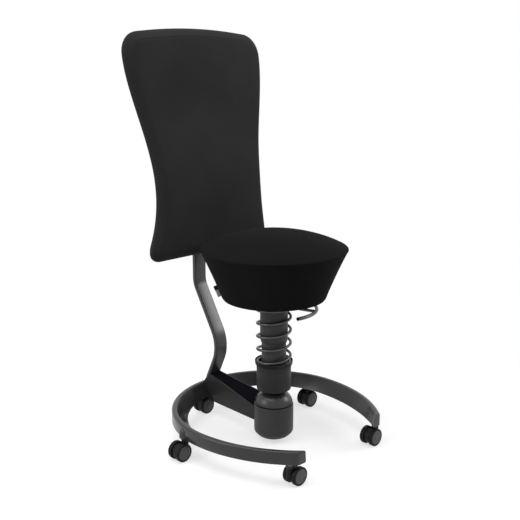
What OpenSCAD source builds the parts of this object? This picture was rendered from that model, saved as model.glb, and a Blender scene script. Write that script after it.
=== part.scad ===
/* [Foot ring] */
// Outer radius of the round back of the ring
ring_rear_r = 276; // [262:1:300]
// Outer radius of the flatter front arms
ring_front_r = 390; // [350:5:450]
// How far the centre of the round back lies behind the column
ring_centre_y = 20; // [5:1:35]
// Distance of the front ends ahead of the column
ring_end_y = 248; // [236:1:262]
// Height of the ring's top face above the floor
ring_top_z = 96; // [90:1:104]
// Depth of the ring from its top face to its underside
ring_h = 36; // [33:1:38]
// Width of the ring's top face
ring_top_w = 16.5; // [15:0.5:20]
// How far the inner wall leans in over the ring's depth
ring_lean = 29.5; // [24:0.5:31]
// Width of the ring's underside at its front ends
ring_end_w = 27.5; // [25:0.5:33]
// Wall of the hollow casting
ring_wall = 5; // [4:0.5:6]
// Radius of the ring's upper edges
ring_edge_r = 3.5; // [2:0.5:5]

/* [Casters] */
// Radius of a caster wheel
wheel_r = 25; // [22:0.5:26]
// Width of one wheel of a pair
wheel_w = 12; // [10:0.5:14]
// Space between the two wheels of a pair
wheel_gap = 16; // [15:0.5:20]
// Distance of the axle behind the swivel stem
caster_trail = 19; // [16:0.5:21]
// Radius of the stem in the ring
stem_r = 5.4; // [5:0.1:6]
// Length of the stem inside the ring
stem_len = 19; // [16:0.5:22]
// Distance of the front stems from the ends of the ring
caster_inset = 22; // [18:1:30]
// Angle of the side stems, from the front
side_angle = 108; // [100:1:116]

/* [Rear arm] */
// Width of the arm at the upright
arm_rear_w = 43; // [40:1:50]
// Width that the arm has grown to at the column's centre line
arm_front_w = 96; // [80:1:100]
// Height of the arm's top at the column's centre line
arm_front_z = 89.5; // [86:0.5:92]
// Height of the arm's top at the upright
arm_rear_z = 131; // [126:1:136]
// Side wall of the arm
arm_wall = 4; // [3:0.5:5]
// Thickness of the tread cover let into the arm
cover_t = 3; // [2:0.5:4]

/* [Upright] */
// Thickness of the upright's flat tube
bar_t = 12; // [10:0.5:14]
// Most forward reach of the upright's centre line
bar_waist_y = 220; // [212:1:226]
// Height of that point
bar_waist_z = 222; // [212:1:232]
// Distance of the straight upper end behind the column
bar_top_y = 310; // [300:1:316]
// Height of the upright's upper end
bar_top_z = 700; // [680:5:720]
// Lean of the lower stretch
bar_low_lean = 25; // [22:1:27]
// Lean of the middle stretch
bar_mid_lean = 30; // [26:1:34]
// Radius of the lower bend
bar_low_r = 100; // [80:5:120]
// Radius of the upper bend
bar_up_r = 60; // [40:5:80]

/* [Pot] */
// Outer radius of the pot
pot_r = 56; // [53:0.5:58]
// Gap between the pot and the floor
pot_z = 10; // [8:1:14]
// Height of the pot's rim
pot_top_z = 98; // [94:1:100]
// Wall of the pot
pot_wall = 8; // [6:0.5:9]
// Height of the tilt centre
tilt_z = 54; // [52:1:56]
// Radius of the ball on the post
ball_r = 27; // [24:0.5:28]
// Thickness of the middle ring between ball and cups
mid_ring_t = 4.2; // [3:0.2:5]
// Running gap at the curved faces of the tilt bearing
tilt_gap = 0.4; // [0.3:0.05:0.6]
// Height of the top of the rounded cap
cap_top_z = 143; // [140:1:144]
// Outer radius of the rounded cap
cap_r = 54; // [52:0.5:55]

/* [Column] */
// Radius of the post between the pot and the lower tube
post_r = 16; // [14:0.5:16]
// Outer radius of the lower tube
low_tube_r = 48.5; // [47:0.5:50]
// Height of the lower tube's bottom edge
low_tube_z = 151.5; // [150:0.5:153]
// Length of the lower tube
low_tube_h = 61.5; // [58:0.5:63]
// Height of the preload ring
preload_h = 11; // [10:0.5:12]
// Outer radius of the spring cup
cup_r = 53.5; // [53:0.5:55]
// Outer radius of the guide tube
guide_r = 34.5; // [33:0.5:35]
// Height of the guide tube's top
guide_top_z = 313; // [305:1:314]
// Outer radius of the sliding sleeve
sleeve_r = 38.8; // [37.5:0.1:39.2]
// Height of the sliding sleeve's lower edge
sleeve_z = 290; // [286:1:294]
// Height of the upper spring face
dish_z = 392; // [389:1:393]
// Outer radius of the upper dish
dish_r = 51; // [50:0.5:52]
// Running clearance of tubes and pins, on the radius
run = 0.06; // [0.03:0.01:0.1]
// Gap left between flat faces that move past each other
face_gap = 0.3; // [0.2:0.05:0.5]

/* [Coil spring] */
// Diameter of the spring's wire
wire_d = 8; // [6:0.5:8]
// Mean radius of the coil
coil_r = 46.5; // [46:0.25:47]
// Rise of the spring in one turn
coil_pitch = 37.6; // [34:0.2:42]
// Direction in which the lowest turn starts to rise
coil_rise_a = 133.5; // [100:0.5:160]
// Length of each flat end turn, in degrees
coil_flat_a = 225; // [180:5:230]

/* [Gas lift] */
// Outer radius of the lift's outer tube
lift_tube_r = 25; // [24:0.5:26]
// Outer radius of the sliding pressure tube
press_r = 14; // [13:0.5:15]
// Radius of the piston rod
rod_r = 5; // [4.5:0.5:6]
// Height of the outer tube's bottom
lift_z = 218; // [216:1:222]
// Height travel of the seat
lift_travel = 100; // [80:5:100]

/* [Seat] */
// Radius of the seat at its rim
seat_r = 200; // [180:1:210]
// Height of the seat's rim above the floor
seat_rim_z = 552.5; // [540:0.5:570]
// Rise of the dome above the rim
seat_crown = 45.5; // [30:0.5:60]
// Radius of the seat's underside
seat_low_r = 143; // [128:1:155]
// Height of the seat's underside
seat_z = 417; // [416:0.5:420]
// How far the seat's side is drawn in
side_draw = 3; // [0:0.5:6]
// Width of the padding round the seat board
board_border = 17; // [14:1:20]
// Thickness of the seat board
board_t = 8; // [6:0.5:12]

/* [Lever] */
// Direction of the lever, from +X
lever_a = -61; // [-180:1:180]
// Radius of the lever's rod
lever_rod_r = 4.5; // [4:0.25:5]
// Distance of the curved grip from the column's centre
grip_r = 118; // [110:1:122]
// Half of the angle that the grip spans
grip_half_a = 42; // [30:1:50]
// Height of the grip
grip_z = 385; // [383:0.5:386]

/* [Backrest] */
// Height of the backrest's lower edge
back_z = 508; // [500:1:516]
// Height of the backrest at the middle of its top edge
back_top_z = 1136; // [1100:1:1160]
// Half width near the top
back_top_w = 253; // [235:1:265]
// Half width at the waist
back_waist_w = 199; // [185:1:210]
// Height of the waist
back_waist_z = 700; // [680:1:720]
// Half width near the bottom
back_low_w = 224; // [210:1:235]
// Radius of the upper corners
back_corner_r = 62; // [50:1:75]
// Radius of the lower corners
back_low_corner_r = 34; // [25:1:45]
// Distance of the backrest's middle layer behind the column at the lumbar curve
back_y = 250; // [246:1:254]
// Height of the lumbar curve's foremost point
back_lumbar_z = 640; // [620:1:660]
// Radius of the lumbar curve
back_curve_r = 820; // [700:10:1000]
// Lean of the straight upper part
back_lean = 9.7; // [7:0.1:12]
// Depth of the padding in front of the middle layer
pad_front = 20; // [16:0.5:22]
// Depth of the padding behind the middle layer
pad_rear = 9; // [7:0.5:10]
// Width of the bevelled border of the padding
pad_bevel = 21; // [15:1:28]
// Thickness of the rear shell
shell_t = 7; // [5:0.5:8]

/* [Carrier] */
// Height of the carrier's middle
carrier_z = 636; // [630:1:642]
// Height of the carrier
carrier_h = 126; // [110:1:130]
// Height travel of the backrest
back_travel = 60; // [40:5:60]
// Radius of the clamp knob
knob_r = 24; // [20:1:28]

/* [Hidden] */
$fn = 96;

metal = "#4d4d50";
metal_light = "#6e6e72";
steel = "#9a9a9e";
rubber = "#1c1c1e";
plastic = "#242426";
fabric = "#161617";
eps = 0.01;

// Points along a circular arc, from angle a0 to a1, in n steps
function arc(cx, cy, r, a0, a1, n) =
    [for (i = [0:n]) let (a = a0 + (a1 - a0) * i / n) [cx + r * cos(a), cy + r * sin(a)]];

// Ring: heights and the line that the stems stand on
ring_z = ring_top_z - ring_h;
wall_mid = ring_top_w / 2;
arm_x = ring_rear_r - ring_front_r;
end_d = ring_centre_y + ring_end_y;
arm_sweep = asin(end_d / (ring_front_r - ring_top_w - ring_lean)) + 1;
ring_lean_a = atan(ring_lean / ring_h);
// A second, flatter cone that pares the arms' inner walls down towards the front ends
foot_in_x = ring_rear_r - ring_top_w - ring_lean - 0.5;
end_in_x = arm_x + sqrt(pow(ring_front_r, 2) - pow(end_d, 2)) - ring_end_w;
end_top_x = arm_x + sqrt(pow(ring_front_r - ring_top_w, 2) - pow(end_d, 2));
pare_x = (pow(end_in_x, 2) + pow(end_d, 2) - pow(foot_in_x, 2)) / (2 * (foot_in_x - end_in_x));
pare_low_r = foot_in_x + pare_x;
pare_top_r = norm([end_top_x + pare_x, end_d]) - 0.5;
pare_slope = (pare_top_r - pare_low_r) / ring_h;
bore_r = stem_r + 0.1;
boss_r = wall_mid + 4.25;
boss_z = ring_z + 14;

// Casters: where the stems stand, and which way each one trails
front_y = caster_inset - ring_end_y;
front_x = arm_x + sqrt(pow(ring_front_r - wall_mid, 2) - pow(front_y - ring_centre_y, 2));
mid_r = ring_rear_r - wall_mid;
side_reach = -ring_centre_y * cos(side_angle)
    + sqrt(pow(mid_r, 2) - pow(ring_centre_y * sin(side_angle), 2));
side_x = side_reach * sin(side_angle);
side_y = -side_reach * cos(side_angle);
rear_stem_r = ring_rear_r - ring_top_w - 1;
stem_at = [
    [-front_x, front_y], [front_x, front_y], [-side_x, side_y], [side_x, side_y],
    [0, ring_centre_y + rear_stem_r]];
caster_turn = [180, 0, 0, 0, 0];
hood_w = wheel_gap - 2 * face_gap;
washer_h = 2.4;
washer_r = 8.5;
hood_top_z = ring_z - washer_h - face_gap;
spigot_r = 4;
spigot_z = 34;
axle_r = 3;
axle_half = wheel_gap / 2 + wheel_w - 1.5;
grip_groove_z = ring_z + 10;
grip_groove_h = 4;

// Arm: its outline in plan and its top and bottom lines
arm_y = 240;
arm_end_y = 290;
arm_slope = (arm_rear_z - arm_front_z) / arm_y;
arm_taper = (arm_front_w - arm_rear_w) / 2 / arm_y;
arm_slope_a = atan(arm_slope);
function arm_top(y) = arm_front_z + arm_slope * y;
function arm_half(y) = max(arm_front_w / 2 - arm_taper * y, arm_rear_w / 2);
arm_low_front_z = 58;
arm_low_rear_z = 48.5;
arm_low_y = 235;
arm_floor_t = 6;
plate_t = 8;
plate_y = 160;
plate_w = arm_rear_w - 2 * arm_wall - 1;
plate_top_drop = cover_t + 2 * face_gap;
plate_screw_y = [180, 215];
plate_screw_r = 4;
screw_head_h = 2;
ring_inner_top = ring_rear_r - ring_top_w;
flange_plate_t = 5;
flange_side = 5;
flange_low_z = 50;

// Upright: ends of its two bends
low_start = [
    bar_waist_y + bar_low_r * (1 - cos(bar_low_lean)), bar_waist_z - bar_low_r * sin(bar_low_lean)];
low_end = [
    bar_waist_y + bar_low_r * (1 - cos(bar_mid_lean)), bar_waist_z + bar_low_r * sin(bar_mid_lean)];
mid_dy = bar_top_y - bar_up_r * (1 - cos(bar_mid_lean)) - low_end[0];
mid_len = mid_dy / sin(bar_mid_lean);
up_end_z = low_end[1] + mid_len * cos(bar_mid_lean) + bar_up_r * sin(bar_mid_lean);
foot_z = arm_rear_z - 13;
foot_len = (low_start[1] - foot_z) / cos(bar_low_lean);
foot_end = [low_start[0] + foot_len * sin(bar_low_lean), foot_z];
bar_half_y = bar_t / 2 / cos(bar_low_lean);
bar_front_y = low_start[0] + (low_start[1] - arm_rear_z) * tan(bar_low_lean) - bar_half_y;

// Pot and tilt bearing
pot_in_r = pot_r - pot_wall;
pot_floor = 8;
pot_corner_r = 15;
cups_r = pot_in_r - 0.2;
mid_in_r = ball_r + tilt_gap;
mid_out_r = mid_in_r + mid_ring_t;
cup_in_r = mid_out_r + tilt_gap;
mid_half_h = 15;
cup_mouth_z = 24;
cup_mouth_r = sqrt(pow(cup_in_r, 2) - pow(cup_mouth_z, 2));
collar_h = 8;
collar_z = pot_top_z;
seal_h = 4;
seal_z = collar_z + collar_h;
cap_z = seal_z + seal_h;
cap_hole_r = post_r + 12;
cap_wall = 4;
cap_round_r = 38;
lug_in = 8;

// Column: heights that follow each other upwards
flange_z = low_tube_z + 4;
flange_h = 6;
flange_top_z = flange_z + flange_h;
low_tube_top_z = low_tube_z + low_tube_h;
tube_wall = 4;
low_in_r = low_tube_r - tube_wall;
neck_r = low_in_r - 0.1;
neck_wall = 6;
neck_z = flange_top_z + 10;
cup_z = low_tube_top_z + preload_h;
cup_floor_z = cup_z + 2.5;
cup_lip_h = 9.5;
cup_lip_t = 2.4;
guide_wall = 3.5;
guide_in_r = guide_r - guide_wall;
bush_h = 20;
sleeve_top_z = dish_z - 10;
sleeve_cone_h = 9;
sleeve_low_r = guide_r + 2;
dish_h = 5;

// Spring: stations along the wire, twelve to a turn, six sides round
wire_r = wire_d / 2;
coil_low_z = cup_floor_z + wire_r + 0.05;
coil_high_z = dish_z - wire_r - 0.05;
coil_ease_a = 45;
coil_rise = coil_high_z - coil_low_z;
coil_turn_a = 360 * coil_rise / coil_pitch;
coil_start_a = coil_rise_a - coil_ease_a - coil_flat_a;
coil_total_a = coil_turn_a + 2 * (coil_ease_a + coil_flat_a);
coil_n = round(coil_total_a / 30);
// Height gained at angle a past the middle of an eased start
function eased(a) = a < -coil_ease_a ? 0 : a > coil_ease_a ? a : pow(a + coil_ease_a, 2) / (4 * coil_ease_a);
function coil_height(a) =
    coil_low_z + (eased(a - coil_rise_a) - eased(a - coil_rise_a - coil_turn_a)) * coil_pitch / 360;
coil_turns = [for (i = [0:coil_n])
    let (a = coil_start_a + coil_total_a * i / coil_n)
    [coil_r * cos(a), coil_r * sin(a), coil_height(a)]];
coil_end_a = coil_start_a + coil_total_a;
// A straight end, one wire diameter long, along the wire's own direction
function coil_tail(a, way) = [
    coil_r * cos(a) - way * wire_d * sin(a), coil_r * sin(a) + way * wire_d * cos(a), coil_height(a)];
coil_path = concat([coil_tail(coil_start_a, -1)], coil_turns, [coil_tail(coil_end_a, 1)]);
coil_last = len(coil_path) - 1;
coil_gaps = [for (i = [0:coil_last - 8]) for (j = [i + 8:coil_last])
    norm(coil_path[i] - coil_path[j]) - wire_d];
stop_w = 5;
stop_h = wire_d - 1;

// Gas lift
lift_wall = 2.5;
lift_in_r = lift_tube_r - lift_wall;
lift_floor = 4;
bearing_z = lift_z + lift_floor + face_gap / 2;
bearing_h = 5;
shoulder_z = bearing_z + bearing_h + face_gap;
shoulder_h = 4;
press_z = shoulder_z + shoulder_h + 1;
press_wall = 1.3;
press_in_r = press_r - press_wall;
press_cap_h = 8;
clip_h = 3;
dish_top_z = dish_z + dish_h;
mount_z = dish_top_z + 2;
press_top_z = mount_z + 7.5;
press_top_t = 6;
liner_h = 50;
piston_h = 8;
piston_z = press_z + press_cap_h + lift_travel + 10;
pin_r = 3.5;
pin_stroke = 4;

// Seat and lever
mount_r = 46;
dome_r = (pow(seat_r, 2) + pow(seat_crown, 2)) / (2 * seat_crown);
rim_round_r = 8;
low_round_r = 10;
board_r = seat_low_r - board_border;
board_gap = 0.3;
tag_a = 142;
lever_bar_z = press_top_z + 3.8;
lever_bar_h = 4.7;
lever_bar_w = 7;
lever_slot_w = 10.5;
pivot_x = 38;
pivot_r = 1.5;
pivot_z = lever_bar_z + lever_bar_h / 2;
eye_r = 3.4;
arm_in_x = 38;
arm_in_z = pivot_z - 3.2;
knee_x = 59;
knee_z = arm_in_z - 0.5;
foot_x = 69;
foot_z1 = 389.2;
grip_cap_len = 5;
seat_screw_x = 36;
seat_screw_r = 3;
seat_head_r = 5.5;
seat_head_h = 4;

// Backrest: middle layer's distance behind the column at height z, and half width at height z
lean_start_z = back_lumbar_z + back_curve_r * sin(back_lean);
lean_start_y = back_y + back_curve_r * (1 - cos(back_lean));
function back_mid(z) = z > lean_start_z
    ? lean_start_y + (z - lean_start_z) * tan(back_lean)
    : back_y + back_curve_r - sqrt(pow(back_curve_r, 2) - pow(z - back_lumbar_z, 2));
back_arch = 11;
back_edge_x = back_top_w - back_corner_r;
back_shoulder_z = back_top_z - back_arch - back_corner_r;
back_hip_z = back_z + back_low_corner_r;
function smooth(t) = t * t * (3 - 2 * t);
function back_half(z) = z > back_waist_z
    ? back_waist_w + (back_top_w - back_waist_w)
        * smooth(pow((z - back_waist_z) / (back_shoulder_z - back_waist_z), 1.15))
    : back_waist_w + (back_low_w - back_waist_w) * pow((back_waist_z - z) / (back_waist_z - back_hip_z), 2);
shell_inset = 8;
side_steps = 14;
// Right half of the backrest's outline, from the bottom to the middle of the top edge
function back_side(inset) = concat(
    arc(back_low_w - back_low_corner_r, back_hip_z, back_low_corner_r - inset, -90, -8, 5),
    [for (i = [1:side_steps - 1])
        let (z = back_hip_z + (back_shoulder_z - back_hip_z) * i / side_steps) [back_half(z) - inset, z]],
    arc(back_edge_x, back_shoulder_z, back_corner_r - inset, 0, 82, 7),
    [for (k = [2, 1, 0]) let (x = back_edge_x * k / 3)
        [x, back_top_z - inset - back_arch * pow(x / back_edge_x, 2)]]);
function mirrored(points) = [for (i = [len(points) - 2:-1:0]) [-points[i][0], points[i][1]]];
carrier_in_y = back_y + pad_rear + shell_t + 8;
flange_t = 6;
carrier_w = 60;
carrier_wall_y = 10;
carrier_back_y = bar_top_y + bar_t / 2 + face_gap + carrier_wall_y;
carrier_flange_w = 104;
carrier_low_z = carrier_z - carrier_h / 2;
carrier_screw_x = 43;
carrier_screw_z = 48;
carrier_screw_r = 3;
stud_r = 4;
clamp_pad_r = 9;
clamp_pad_t = 3;
knob_y = carrier_back_y + 2;
knob_h = 20;

// Outer rim and top of the ring's section, from its foot round to the inner face
function ring_skin(r_out) = concat(
    [[r_out - 1, ring_z], [r_out, ring_z + 1]],
    arc(r_out - ring_edge_r, ring_top_z - ring_edge_r, ring_edge_r, 0, 90, 5),
    arc(r_out - ring_top_w + ring_edge_r, ring_top_z - ring_edge_r, ring_edge_r, 90, 180 - ring_lean_a, 5),
    [[r_out - ring_top_w - ring_lean, ring_z]]);

// The open channel under the ring's top, from low up
function ring_hollow(r_out, low) = let (x = r_out - ring_top_w + ring_wall / cos(ring_lean_a)) [
    [x - ring_lean - (ring_z - low) * tan(ring_lean_a), low],
    [x - ring_wall * tan(ring_lean_a), ring_top_z - ring_wall],
    [r_out - ring_wall, ring_top_z - ring_wall],
    [r_out - ring_wall, low]];

// The space inside the second cone, larger by grow, in the arm's own frame
module pare(grow) {
    translate([-pare_x - arm_x, 0, ring_z - 10])
        cylinder(
            r1 = pare_low_r - 10 * pare_slope + grow,
            r2 = pare_top_r + 10 * pare_slope + grow,
            h = ring_h + 20);
}

// Everything ahead of a plane that lies gap behind the arms' front ends
module past_end(gap) {
    translate([0, gap - end_d - ring_front_r, ring_z - 2])
        cube([2 * ring_front_r, ring_front_r, ring_h + 4]);
}

module foot_ring() color(metal) {
    difference() {
        union() {
            translate([0, ring_centre_y, 0])
                rotate_extrude(angle = 180)
                    polygon(concat(ring_skin(ring_rear_r), ring_hollow(ring_rear_r, ring_z)));
            for (side = [0, 1])
                mirror([side, 0, 0])
                    translate([arm_x, ring_centre_y, 0])
                        difference() {
                            rotate_extrude(angle = -arm_sweep)
                                polygon(ring_skin(ring_front_r));
                            pare(0);
                            past_end(0);
                            difference() {
                                rotate_extrude(angle = -arm_sweep)
                                    polygon(ring_hollow(ring_front_r, ring_z - 1));
                                pare(ring_wall);
                                past_end(ring_wall);
                            }
                        }
            for (p = stem_at)
                translate([p[0], p[1], 0])
                    rotate_extrude()
                        polygon(concat([[0, ring_z], [boss_r, ring_z]], arc(0, boss_z, boss_r, 0, 90, 10)));
        }
        for (p = stem_at)
            translate([p[0], p[1], ring_z - 1])
                cylinder(r = bore_r, h = stem_len + 2);
    }
}

// Lays a side view, drawn in Y and Z, across the width w
module across(w) {
    rotate([90, 0, 90])
        linear_extrude(w, center = true)
            children();
}

// The arm's outline in plan, drawn in by inset, as a tall block
module arm_plan(inset) {
    side = [[arm_half(0) - inset, 0], [arm_half(arm_y) - inset, arm_y], [arm_half(arm_y) - inset, arm_end_y]];
    linear_extrude(ring_top_z + arm_rear_z)
        polygon(concat(side, [for (i = [2:-1:0]) [-side[i][0], side[i][1]]]));
}

// The space in front of the ring's inner wall
module inside_ring(gap) {
    up = 60;
    translate([0, ring_centre_y, ring_z - 20])
        cylinder(
            r1 = ring_inner_top - ring_lean - 20 * tan(ring_lean_a) - gap,
            r2 = ring_inner_top + up * tan(ring_lean_a) - gap,
            h = ring_h + up + 20);
}

// One edge of the bar's side view, off by t from its centre line, from the foot up
function bar_edge(t) = concat(
    [[foot_end[0] + t * cos(bar_low_lean), foot_end[1] + t * sin(bar_low_lean)]],
    arc(bar_waist_y + bar_low_r, bar_waist_z, bar_low_r - t, 180 + bar_low_lean, 180 - bar_mid_lean, 12),
    arc(bar_top_y - bar_up_r, up_end_z, bar_up_r + t, -bar_mid_lean, 0, 8),
    [[bar_top_y + t, bar_top_z]]);

// The bar's lower stretch alone, larger by grow all round
module bar_foot(grow) {
    t = bar_t / 2 + grow;
    more = [foot_end[0] + grow * sin(bar_low_lean), foot_end[1] - grow * cos(bar_low_lean)];
    across(arm_rear_w + 2 * grow)
        polygon([
            [more[0] - t * cos(bar_low_lean), more[1] - t * sin(bar_low_lean)],
            [more[0] + t * cos(bar_low_lean), more[1] + t * sin(bar_low_lean)],
            [low_start[0] + t * cos(bar_low_lean), low_start[1] + t * sin(bar_low_lean)],
            [low_start[0] - t * cos(bar_low_lean), low_start[1] - t * sin(bar_low_lean)]]);
}

module upright() color(metal_light) {
    rear = bar_edge(bar_t / 2);
    plate_rear = bar_front_y + 2;
    difference() {
        union() {
            across(arm_rear_w)
                polygon(concat(bar_edge(-bar_t / 2), [for (i = [len(rear) - 1:-1:0]) rear[i]]));
            across(plate_w)
                polygon([
                    [plate_y, arm_top(plate_y) - plate_top_drop],
                    [plate_y, arm_top(plate_y) - plate_top_drop - plate_t],
                    [plate_rear + 3, arm_top(plate_rear + 3) - plate_top_drop - plate_t],
                    [plate_rear, arm_top(plate_rear) - plate_top_drop]]);
        }
        for (y = plate_screw_y)
            plate_hole(y, plate_screw_r, 20);
    }
}

// A round hole or shank square to the foot plate, centred on the plate's top face
module plate_hole(y, r, depth) {
    translate([0, y, arm_top(y) - plate_top_drop])
        rotate([arm_slope_a, 0, 0])
            translate([0, 0, -depth])
                cylinder(r = r, h = depth + 10);
}

// The plate at the arm's rear end, shaped to the ring's inner wall
module arm_flange() {
    half_w = arm_rear_w / 2 + flange_side;
    difference() {
        intersection() {
            inside_ring(0.2);
            translate([-half_w, arm_low_y - 10, flange_low_z])
                cube([2 * half_w, arm_end_y, ring_top_z - flange_low_z]);
        }
        inside_ring(0.2 + flange_plate_t);
    }
}

module rear_arm() color(metal) {
    arm_flange();
    difference() {
        intersection() {
            arm_plan(0);
            inside_ring(0.2);
            across(arm_front_w)
                polygon([
                    [0, arm_top(0)],
                    [bar_front_y, arm_top(bar_front_y)],
                    [bar_front_y + bar_t, arm_top(bar_front_y) - 8],
                    [ring_centre_y + ring_inner_top - 4, ring_top_z + 4],
                    [arm_end_y, ring_top_z - 4],
                    [arm_end_y, ring_z + 3],
                    [arm_low_y + 18, arm_low_rear_z + 4.5],
                    [arm_low_y, arm_low_rear_z],
                    [0, arm_low_front_z]]);
        }
        cylinder(r = pot_r + 0.05, h = 2 * arm_rear_z);
        bar_foot(0.15);
        intersection() {
            arm_plan(arm_wall);
            across(arm_front_w)
                polygon([
                    [0, arm_low_front_z + arm_floor_t],
                    [plate_y - 4, arm_low_rear_z + arm_floor_t + 3],
                    [plate_y - 4, arm_top(plate_y - 4) - plate_top_drop - plate_t],
                    [bar_front_y + bar_t, arm_top(bar_front_y + bar_t) - plate_top_drop - plate_t],
                    [bar_front_y + bar_t, 2 * arm_rear_z],
                    [0, 2 * arm_rear_z]]);
        }
        for (y = plate_screw_y)
            plate_hole(y, plate_screw_r, 42);
    }
}

module arm_cover() color(rubber) {
    rear = bar_front_y - 1;
    difference() {
        intersection() {
            arm_plan(arm_wall + face_gap);
            across(arm_front_w)
                polygon([
                    [0, arm_top(0) - face_gap],
                    [rear, arm_top(rear) - face_gap],
                    [rear, arm_top(rear) - face_gap - cover_t],
                    [0, arm_top(0) - face_gap - cover_t]]);
        }
        cylinder(r = pot_r + face_gap, h = 2 * arm_rear_z);
    }
}

module upright_screws() color(steel) {
    for (y = plate_screw_y)
        translate([0, y, arm_top(y) - plate_top_drop])
            rotate([arm_slope_a, 0, 0])
                translate([0, 0, -40])
                    cylinder(r = plate_screw_r, h = 40 + face_gap);
}

module pot() color(metal) {
    rotate_extrude()
        polygon(concat(
            [[0, pot_z]],
            arc(pot_r - pot_corner_r, pot_z + pot_corner_r, pot_corner_r, -90, 0, 8),
            [[pot_r, pot_top_z - 1], [pot_r - 1, pot_top_z], [pot_in_r, pot_top_z],
                [pot_in_r, pot_z + pot_floor], [0, pot_z + pot_floor]]));
}

module tilt_cup_lower() color(rubber) {
    low = pot_z + pot_floor;
    difference() {
        translate([0, 0, low])
            cylinder(r = cups_r, h = tilt_z - low);
        translate([0, 0, tilt_z])
            sphere(r = cup_in_r);
    }
}

module tilt_cup_upper() color(rubber) {
    difference() {
        translate([0, 0, tilt_z])
            cylinder(r = cups_r, h = pot_top_z - tilt_z);
        translate([0, 0, tilt_z])
            sphere(r = cup_in_r);
        translate([0, 0, tilt_z + cup_mouth_z])
            cylinder(r1 = cup_mouth_r, r2 = cup_mouth_r + 10, h = pot_top_z - tilt_z - cup_mouth_z + eps);
    }
}

module pot_collar() color(metal) {
    rotate_extrude()
        polygon([
            [pot_in_r - lug_in, collar_z], [pot_r - 0.5, collar_z], [pot_r - 0.5, collar_z + collar_h - 1],
            [pot_r - 1.5, collar_z + collar_h], [pot_in_r - lug_in, collar_z + collar_h]]);
}

module seal_ring() color(rubber) {
    rotate_extrude()
        polygon([
            [pot_in_r - lug_in, seal_z], [pot_r - 4, seal_z], [pot_r - 4, cap_z],
            [pot_in_r - lug_in, cap_z]]);
}

module boot_cap() color(metal) {
    mid_r = cap_r - cap_round_r;
    mid_z = cap_top_z - cap_round_r;
    in_r = cap_round_r - cap_wall;
    low_a = asin((cap_z - mid_z) / cap_round_r);
    high_a = acos((cap_hole_r - mid_r) / cap_round_r);
    in_low_a = asin((cap_z - mid_z) / in_r);
    in_high_a = acos((cap_hole_r - mid_r) / in_r);
    rotate_extrude()
        polygon(concat(
            arc(mid_r, mid_z, cap_round_r, low_a, high_a, 10),
            arc(mid_r, mid_z, in_r, in_high_a, in_low_a, 8)));
}

module caster_stems() color(steel) {
    for (p = stem_at)
        translate([p[0], p[1], 0])
            rotate_extrude()
                polygon([
                    [0, spigot_z], [spigot_r - 0.5, spigot_z], [spigot_r, spigot_z + 0.5],
                    [spigot_r, ring_z - washer_h], [washer_r, ring_z - washer_h], [washer_r, ring_z],
                    [stem_r, ring_z], [stem_r, grip_groove_z], [stem_r - 0.8, grip_groove_z],
                    [stem_r - 0.8, grip_groove_z + grip_groove_h], [stem_r, grip_groove_z + grip_groove_h],
                    [stem_r, ring_z + stem_len - 1], [stem_r - 1, ring_z + stem_len], [0, ring_z + stem_len]]);
}

module grip_rings() color(steel) {
    for (p = stem_at)
        translate([p[0], p[1], grip_groove_z + 0.2])
            rotate_extrude(angle = 320)
                translate([stem_r - 0.8, 0])
                    square([bore_r - stem_r + 0.8, grip_groove_h - 0.4]);
}

// Places a caster's own pieces: the stem is its origin and it trails towards -X
module at_caster(k) {
    translate([stem_at[k][0], stem_at[k][1], 0])
        rotate([0, 0, caster_turn[k]])
            children();
}

module caster_hood(k) color(plastic) {
    neck_r2 = spigot_r + 5.5;
    at_caster(k)
        difference() {
            union() {
                translate([-caster_trail, 0, wheel_r])
                    rotate([90, 0, 0])
                        cylinder(r = wheel_r - 4, h = hood_w, center = true);
                intersection() {
                    translate([0, 0, wheel_r - 6])
                        cylinder(r = neck_r2, h = hood_top_z - wheel_r + 6);
                    translate([-2 * neck_r2, -hood_w / 2, 0])
                        cube([4 * neck_r2, hood_w, 2 * ring_z]);
                }
                translate([0, 0, 2 * wheel_r + 0.8])
                    cylinder(r = neck_r2, h = hood_top_z - 2 * wheel_r - 0.8);
                translate([-caster_trail, 0, wheel_r])
                    rotate([90, 0, 0])
                        cylinder(r = axle_r, h = 2 * axle_half, center = true);
            }
            translate([0, 0, spigot_z - face_gap])
                cylinder(r = spigot_r + run, h = hood_top_z);
        }
}

// One wheel, its inner face towards the hood; side is 1 or -1
module caster_wheel(k, side) color(plastic) {
    hub_r = 7.5;
    rim_in_r = wheel_r - 5;
    inner = wheel_gap / 2;
    outer = inner + wheel_w;
    at_caster(k)
        translate([-caster_trail, 0, wheel_r])
            rotate([side * -90, 0, 0])
                rotate_extrude()
                    polygon([
                        [0, axle_half + face_gap], [axle_r + run, axle_half + face_gap],
                        [axle_r + run, inner], [hub_r, inner], [hub_r, outer - 4.5], [rim_in_r, outer - 4.5],
                        [rim_in_r, inner], [wheel_r - 1, inner], [wheel_r, inner + 1], [wheel_r, outer - 2],
                        [wheel_r - 2, outer], [wheel_r - 7, outer], [wheel_r - 8, outer - 0.7],
                        [0, outer - 0.7]]);
}

module tilt_ring() color(steel) {
    difference() {
        intersection() {
            translate([0, 0, tilt_z])
                sphere(r = mid_out_r);
            translate([0, 0, tilt_z - mid_half_h])
                cylinder(r = 2 * mid_out_r, h = 2 * mid_half_h);
        }
        translate([0, 0, tilt_z])
            sphere(r = mid_in_r);
    }
}

module column_post() color(steel) {
    union() {
        translate([0, 0, tilt_z])
            sphere(r = ball_r);
        translate([0, 0, tilt_z])
            cylinder(r = post_r, h = flange_z - tilt_z + 1);
        translate([0, 0, flange_z])
            cylinder(r = low_in_r - 0.2, h = flange_h);
    }
}

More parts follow.
